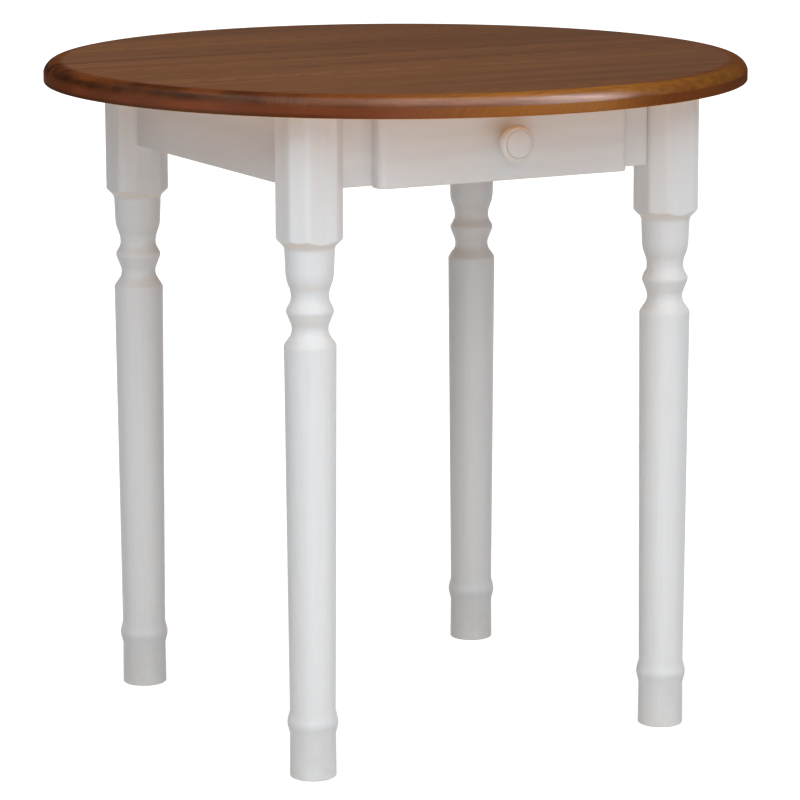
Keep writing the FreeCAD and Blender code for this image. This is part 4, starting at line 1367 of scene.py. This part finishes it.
@dataclass(frozen=True)
class Drawer:
    """The drawer: overlay front with rounded ends, box, bottom and turned knob."""

    half_width: float = 155.0
    front_back: float = 237.5
    front_face: float = 256.5
    front_low: float = 648.0
    front_top: float = 733.0
    end_round: float = 9.0
    end_steps: int = 10
    front_ease: float = 2.0
    ease_steps: int = 5
    half_box: float = 125.23
    side_thickness: float = 12.0
    box_low: float = 664.3
    box_top: float = 714.3
    rear: float = 142.0
    low_ease: float = 0.8
    top_ease: float = 1.8
    panel_low: float = 669.3
    panel_top: float = 673.3
    panel_ease: float = 0.2
    groove: float = 4.8
    knob_height: float = 690.5
    knob_screw: Fixings = Fixings(shank_radius=2.0, screw_length=34.0)
    peg_radius: float = 3.0
    peg_length: float = 24.0
    peg_inset: float = 12.0
    peg_proud: float = 0.15
    side_pine: BarePine = BarePine("drawer_sides", Log(Along.Y, (0.72, 0.09), (0.02, 0.01), 3.0 * MM, 12.0))
    back_pine: BarePine = BarePine("drawer_back", Log(Along.X, (0.21, 0.60), (0.015, 0.02), 3.2 * MM, 15.0))

    def front_row(self, height: float, inset: float) -> list[Point]:
        """Plan of the front at one height.

        Args:
            height: The height.
            inset: How far its face and ends are drawn in there.

        Returns:
            Points once round it, in metres.
        """
        half = self.half_width - inset
        face = self.front_face - inset
        curve = self.end_round - inset
        points = [(-half, -self.front_back), (half, -self.front_back)]
        for step in range(self.end_steps + 1):
            angle = QUARTER_TURN * step / self.end_steps
            points.append((half - curve + curve * math.cos(angle), -(face - curve + curve * math.sin(angle))))
        points += [(-x, y) for x, y in reversed(points[2:])]
        return [(x * MM, y * MM, height * MM) for x, y in points]

    def front(self) -> None:
        """Make the front."""
        ease, quarter = self.front_ease, quarter_round(self.ease_steps)
        levels = [(self.front_low + ease * drop, ease * inset) for drop, inset in quarter]
        levels += [(self.front_top - ease * drop, ease * inset) for drop, inset in reversed(quarter)]
        rows = [self.front_row(height, inset) for height, inset in levels]
        Skin(rows).piece("rounded_drawer_front", LEVEL_PAINT, Carrier.DRAWER, "drawer_front")

    def knob(self) -> None:
        """Make the turned knob."""
        outline = Profile(0.4, 0.0).line(11.0, 0.0).line(11.0, 2.0).level_end(9.0, 7.0)
        outline.level_start(17.0, 16.5, 10).level_end(20.5, 22.0, 10).level_start(16.0, 27.4, 12)
        outline.line(15.6, 26.5).line(15.1, 26.3).line(14.6, 27.4).upright_end(0.4, 29.0, 12)
        rows = outline.spun((0.0, -self.front_face * MM, self.knob_height * MM), FORWARD, 96)
        Skin(rows).piece("turned_drawer_knob", SIDE_PAINT, Carrier.DRAWER, "drawer_knob")

    def box(self) -> None:
        """Make the sides, back and bottom."""
        inner = self.half_box - self.side_thickness
        behind = self.rear - self.side_thickness
        low, top, thin = self.low_ease, self.top_ease, self.panel_ease
        for name, side in SIDES.items():
            near, far = sorted((side * inner, side * self.half_box))
            bar = Bar((near, -self.front_back, self.box_low), (far, self.rear, self.box_top), Along.Y,
                      (low, top, top, low), end_ease=0.4)
            bar.piece(f"drawer_side_{name}", self.side_pine, Carrier.DRAWER)
        bar = Bar((-inner, behind, self.box_low), (inner, self.rear, self.box_top), Along.X,
                  (low, low, top, top), end_ease=0.1)
        bar.piece("drawer_back", self.back_pine, Carrier.DRAWER)
        reach = inner + self.groove
        bar = Bar((-reach, -self.front_back - self.groove, self.panel_low),
                  (reach, behind + self.groove, self.panel_top), Along.X, (thin, thin, thin, thin), thin)
        bar.piece("drawer_bottom", Plywood(), Carrier.DRAWER, how="plywood")

    def pegs(self) -> None:
        """Make the dowels of the box, trimmed just proud of the sides."""
        outline = Profile(0.3, -self.peg_proud).line(self.peg_radius - 0.3, -self.peg_proud)
        outline.line(self.peg_radius, 0.1).line(self.peg_radius, self.peg_length)
        pegs = Skin()
        half = self.side_thickness / 2
        for side in SIDES.values():
            for height in (self.panel_top + self.peg_inset, self.box_top - self.peg_inset):
                ahead = (side * (self.half_box - half), -self.front_back + self.peg_length / 2, height)
                aside = (side * self.half_box, self.rear - half, height)
                for spot, axis in ((ahead, FORWARD), (aside, Vector((-side, 0, 0)))):
                    pegs.loft(outline.spun(tuple(number * MM for number in spot), axis, 32))
        pegs.piece("trimmed_drawer_dowels", Beech(), Carrier.DRAWER, "drawer_dowels")

    def build(self) -> None:
        """Make the drawer, and the screw that holds the knob from inside."""
        self.front()
        self.knob()
        self.box()
        self.pegs()
        screw = self.knob_screw.screw(Skin(), (0.0, -self.front_back, self.knob_height), FORWARD)
        screw.piece("cross_head_knob_screw", ZincSteel(), Carrier.DRAWER, "knob_screw")


@dataclass(frozen=True)
class SoftBox:
    """A soft lamp that faces a point of the table, in metres; level 1 lights white fully there."""

    name: str
    place: Point
    aim: Point
    width: float
    height: float
    level: float
    tint: Point = DAYLIGHT
    sheen_on: str = ""

    def build(self) -> None:
        """Hang the lamp, for all pieces or only for the sheen of those whose names start with sheen_on."""
        lamp = bpy.data.lights.new(self.name, "AREA")
        lamp.shape = "RECTANGLE"
        lamp.size = self.width
        lamp.size_y = self.height
        lamp.color = self.tint
        throw = Vector(self.aim) - Vector(self.place)
        lamp.energy = self.level * math.pi ** 2 * throw.length_squared
        holder = bpy.data.objects.new(self.name, lamp)
        holder.location = self.place
        holder.rotation_euler = throw.to_track_quat("-Z", "Y").to_euler()
        holder.visible_camera = False
        if self.sheen_on:
            holder.visible_diffuse = False
            polished = bpy.data.collections.new(f"{self.name}_pieces")
            for piece in bpy.data.objects:
                if piece.name.startswith(self.sheen_on):
                    polished.objects.link(piece)
            holder.light_linking.receiver_collection = polished
        bpy.context.scene.collection.objects.link(holder)


@dataclass(frozen=True)
class Studio:
    """White floor and surroundings, soft lamps and the camera, in metres."""

    ambient: float = 0.04
    floor_reach: float = 30.0
    floor_white: Colour = (0.88, 0.86, 0.85, 1.0)
    floor_glow: float = 1.30
    glow_by_distance: Ramp = (0.6, 1.8, 0.76, 1.0)
    camera_place: Point = (-2.04335, -3.84307, 1.21653)
    camera_yaw: float = -28.053
    camera_pitch: float = 11.125
    camera_roll: float = -0.151
    focal_pixels: float = 3825.75
    frame_pixels: float = 800.0
    sensor: float = 36.0
    lamps: tuple[SoftBox, ...] = (
        SoftBox("front_right_overhead", (0.85, -1.6, 2.6), (0.0, -0.1, 0.6), 2.4, 1.8, 0.365),
        SoftBox("left_overhead", (-2.0, -1.0, 2.5), (0.0, -0.1, 0.6), 1.8, 1.8, 0.255),
        SoftBox("front_overhead", (-0.7, -2.2, 2.6), (0.0, -0.1, 0.6), 2.4, 1.6, 0.175),
        SoftBox("overhead", (0.0, 0.2, 3.0), (0.0, 0.0, 0.7), 2.0, 2.0, 0.50),
        SoftBox("camera_side", (-0.85, -2.3, 0.95), (0.0, -0.1, 0.4), 1.2, 1.2, 0.080),
        SoftBox("front_half_height", (-0.6, -2.9, 1.85), (0.0, -0.1, 0.5), 1.6, 0.7, 0.085),
        SoftBox("low_front_right", (1.3, -2.3, 0.25), (0.0, -0.1, 0.45), 1.0, 0.7, 0.052),
        SoftBox("low_front", (-0.6, -1.6, 0.10), (-0.1, -0.2, 0.2), 1.0, 0.3, 0.100),
        SoftBox("left_side", (-2.4, -0.8, 0.3), (0.0, 0.1, 0.3), 1.0, 0.5, 0.046),
        SoftBox("back", (0.9, 2.8, 0.42), (0.0, 0.1, 0.4), 1.6, 0.5, 0.16),
        SoftBox("sheen_above", (-0.46, -1.04, 2.95), (-0.10, -0.38, 0.755), 3.2, 2.2, 5.2,
                WHITE, RoundTop.prefix),
        SoftBox("sheen_right", (1.38, -1.34, 2.23), (0.03, -0.40, 0.755), 0.8, 1.8, 5.0,
                WHITE, RoundTop.prefix),
        SoftBox("sheen_low", (1.00, -2.09, 1.77), (0.03, -0.40, 0.755), 1.1, 1.2, 2.0,
                WHITE, RoundTop.prefix),
    )

    def seen_directly(self, tree: Tree) -> Socket:
        """1 for a ray that shows the surroundings as a picture: straight, mirrored or through glass."""
        rays = tree.nodes.new("ShaderNodeLightPath").outputs
        return tree.largest(rays["Is Camera Ray"], rays["Is Glossy Ray"], rays["Is Transmission Ray"])

    def surroundings(self) -> None:
        """Make the world white to look at and soft in the light it gives."""
        world = bpy.data.worlds.new("white_surroundings")
        bpy.context.scene.world = world
        world.use_nodes = True
        tree = Tree(world.node_tree)
        light = tree.nodes["Background"]
        tree.feed(light.inputs["Color"], OPAQUE_WHITE)
        tree.feed(light.inputs["Strength"], self.ambient)
        white = tree.add("ShaderNodeBackground", {"Color": OPAQUE_WHITE, "Strength": 1.0})
        seen = {0: self.seen_directly(tree), 1: light.outputs[0], 2: white}
        tree.feed(tree.nodes["World Output"].inputs["Surface"], tree.add("ShaderNodeMixShader", seen))

    def floor(self) -> None:
        """Lay a white floor that keeps a pale shadow and can be looked through from below."""
        reach = self.floor_reach
        mesh = bpy.data.meshes.new("white_floor")
        corners = [(-reach, -reach, 0), (reach, -reach, 0), (reach, reach, 0), (-reach, reach, 0)]
        mesh.from_pydata(corners, [], [(0, 1, 2, 3)])
        graph = Graph("white_floor")
        white = graph.finish(Base_Color=self.floor_white, Roughness=0.9, Specular_IOR_Level=0.0)
        mesh.materials.append(white)
        glow = graph.add("ShaderNodeEmission", {"Strength": self.floor_glow})
        away = graph.add("ShaderNodeVectorMath", {0: graph.place}, "Value", operation="LENGTH")
        fade = graph.add("ShaderNodeMapRange", dict(enumerate((away, *self.glow_by_distance))))
        share = graph.times(self.seen_directly(graph), fade)
        lit = graph.add("ShaderNodeMixShader", {0: share, 1: graph.surface.outputs[0], 2: glow})
        behind = graph.add("ShaderNodeNewGeometry", {}, "Backfacing")
        clear = graph.add("ShaderNodeBsdfTransparent", {})
        whole = graph.add("ShaderNodeMixShader", {0: behind, 1: lit, 2: clear})
        graph.feed(graph.nodes["Material Output"].inputs["Surface"], whole)
        floor = bpy.data.objects.new("white_floor", mesh)
        bpy.context.scene.collection.objects.link(floor)

    def camera(self) -> None:
        """Set up the camera that looks at the table's front left."""
        turn = Matrix.Translation(self.camera_place)
        turns = ((self.camera_yaw, "Z"), (90.0 - self.camera_pitch, "X"), (self.camera_roll, "Z"))
        for degrees, axis in turns:
            turn = turn @ Matrix.Rotation(math.radians(degrees), 4, axis)
        lens = bpy.data.cameras.new("camera")
        lens.sensor_width = self.sensor
        lens.lens = self.focal_pixels / self.frame_pixels * self.sensor
        camera = bpy.data.objects.new("camera", lens)
        camera.matrix_world = turn
        bpy.context.scene.collection.objects.link(camera)
        bpy.context.scene.camera = camera

    def build(self) -> None:
        """Set up the studio."""
        bpy.context.scene.view_settings.view_transform = "Standard"
        self.surroundings()
        self.floor()
        for lamp in self.lamps:
            lamp.build()
        self.camera()


def main() -> None:
    """Build the table piece by piece, then the studio."""
    logging.basicConfig(level=logging.INFO, format="%(message)s")
    for part in (RoundTop(), TurnedLeg(), ApronFrame(), Fixings(), InnerFrame(), Drawer(), Studio()):
        part.build()


if __name__ == "__main__":
    main()
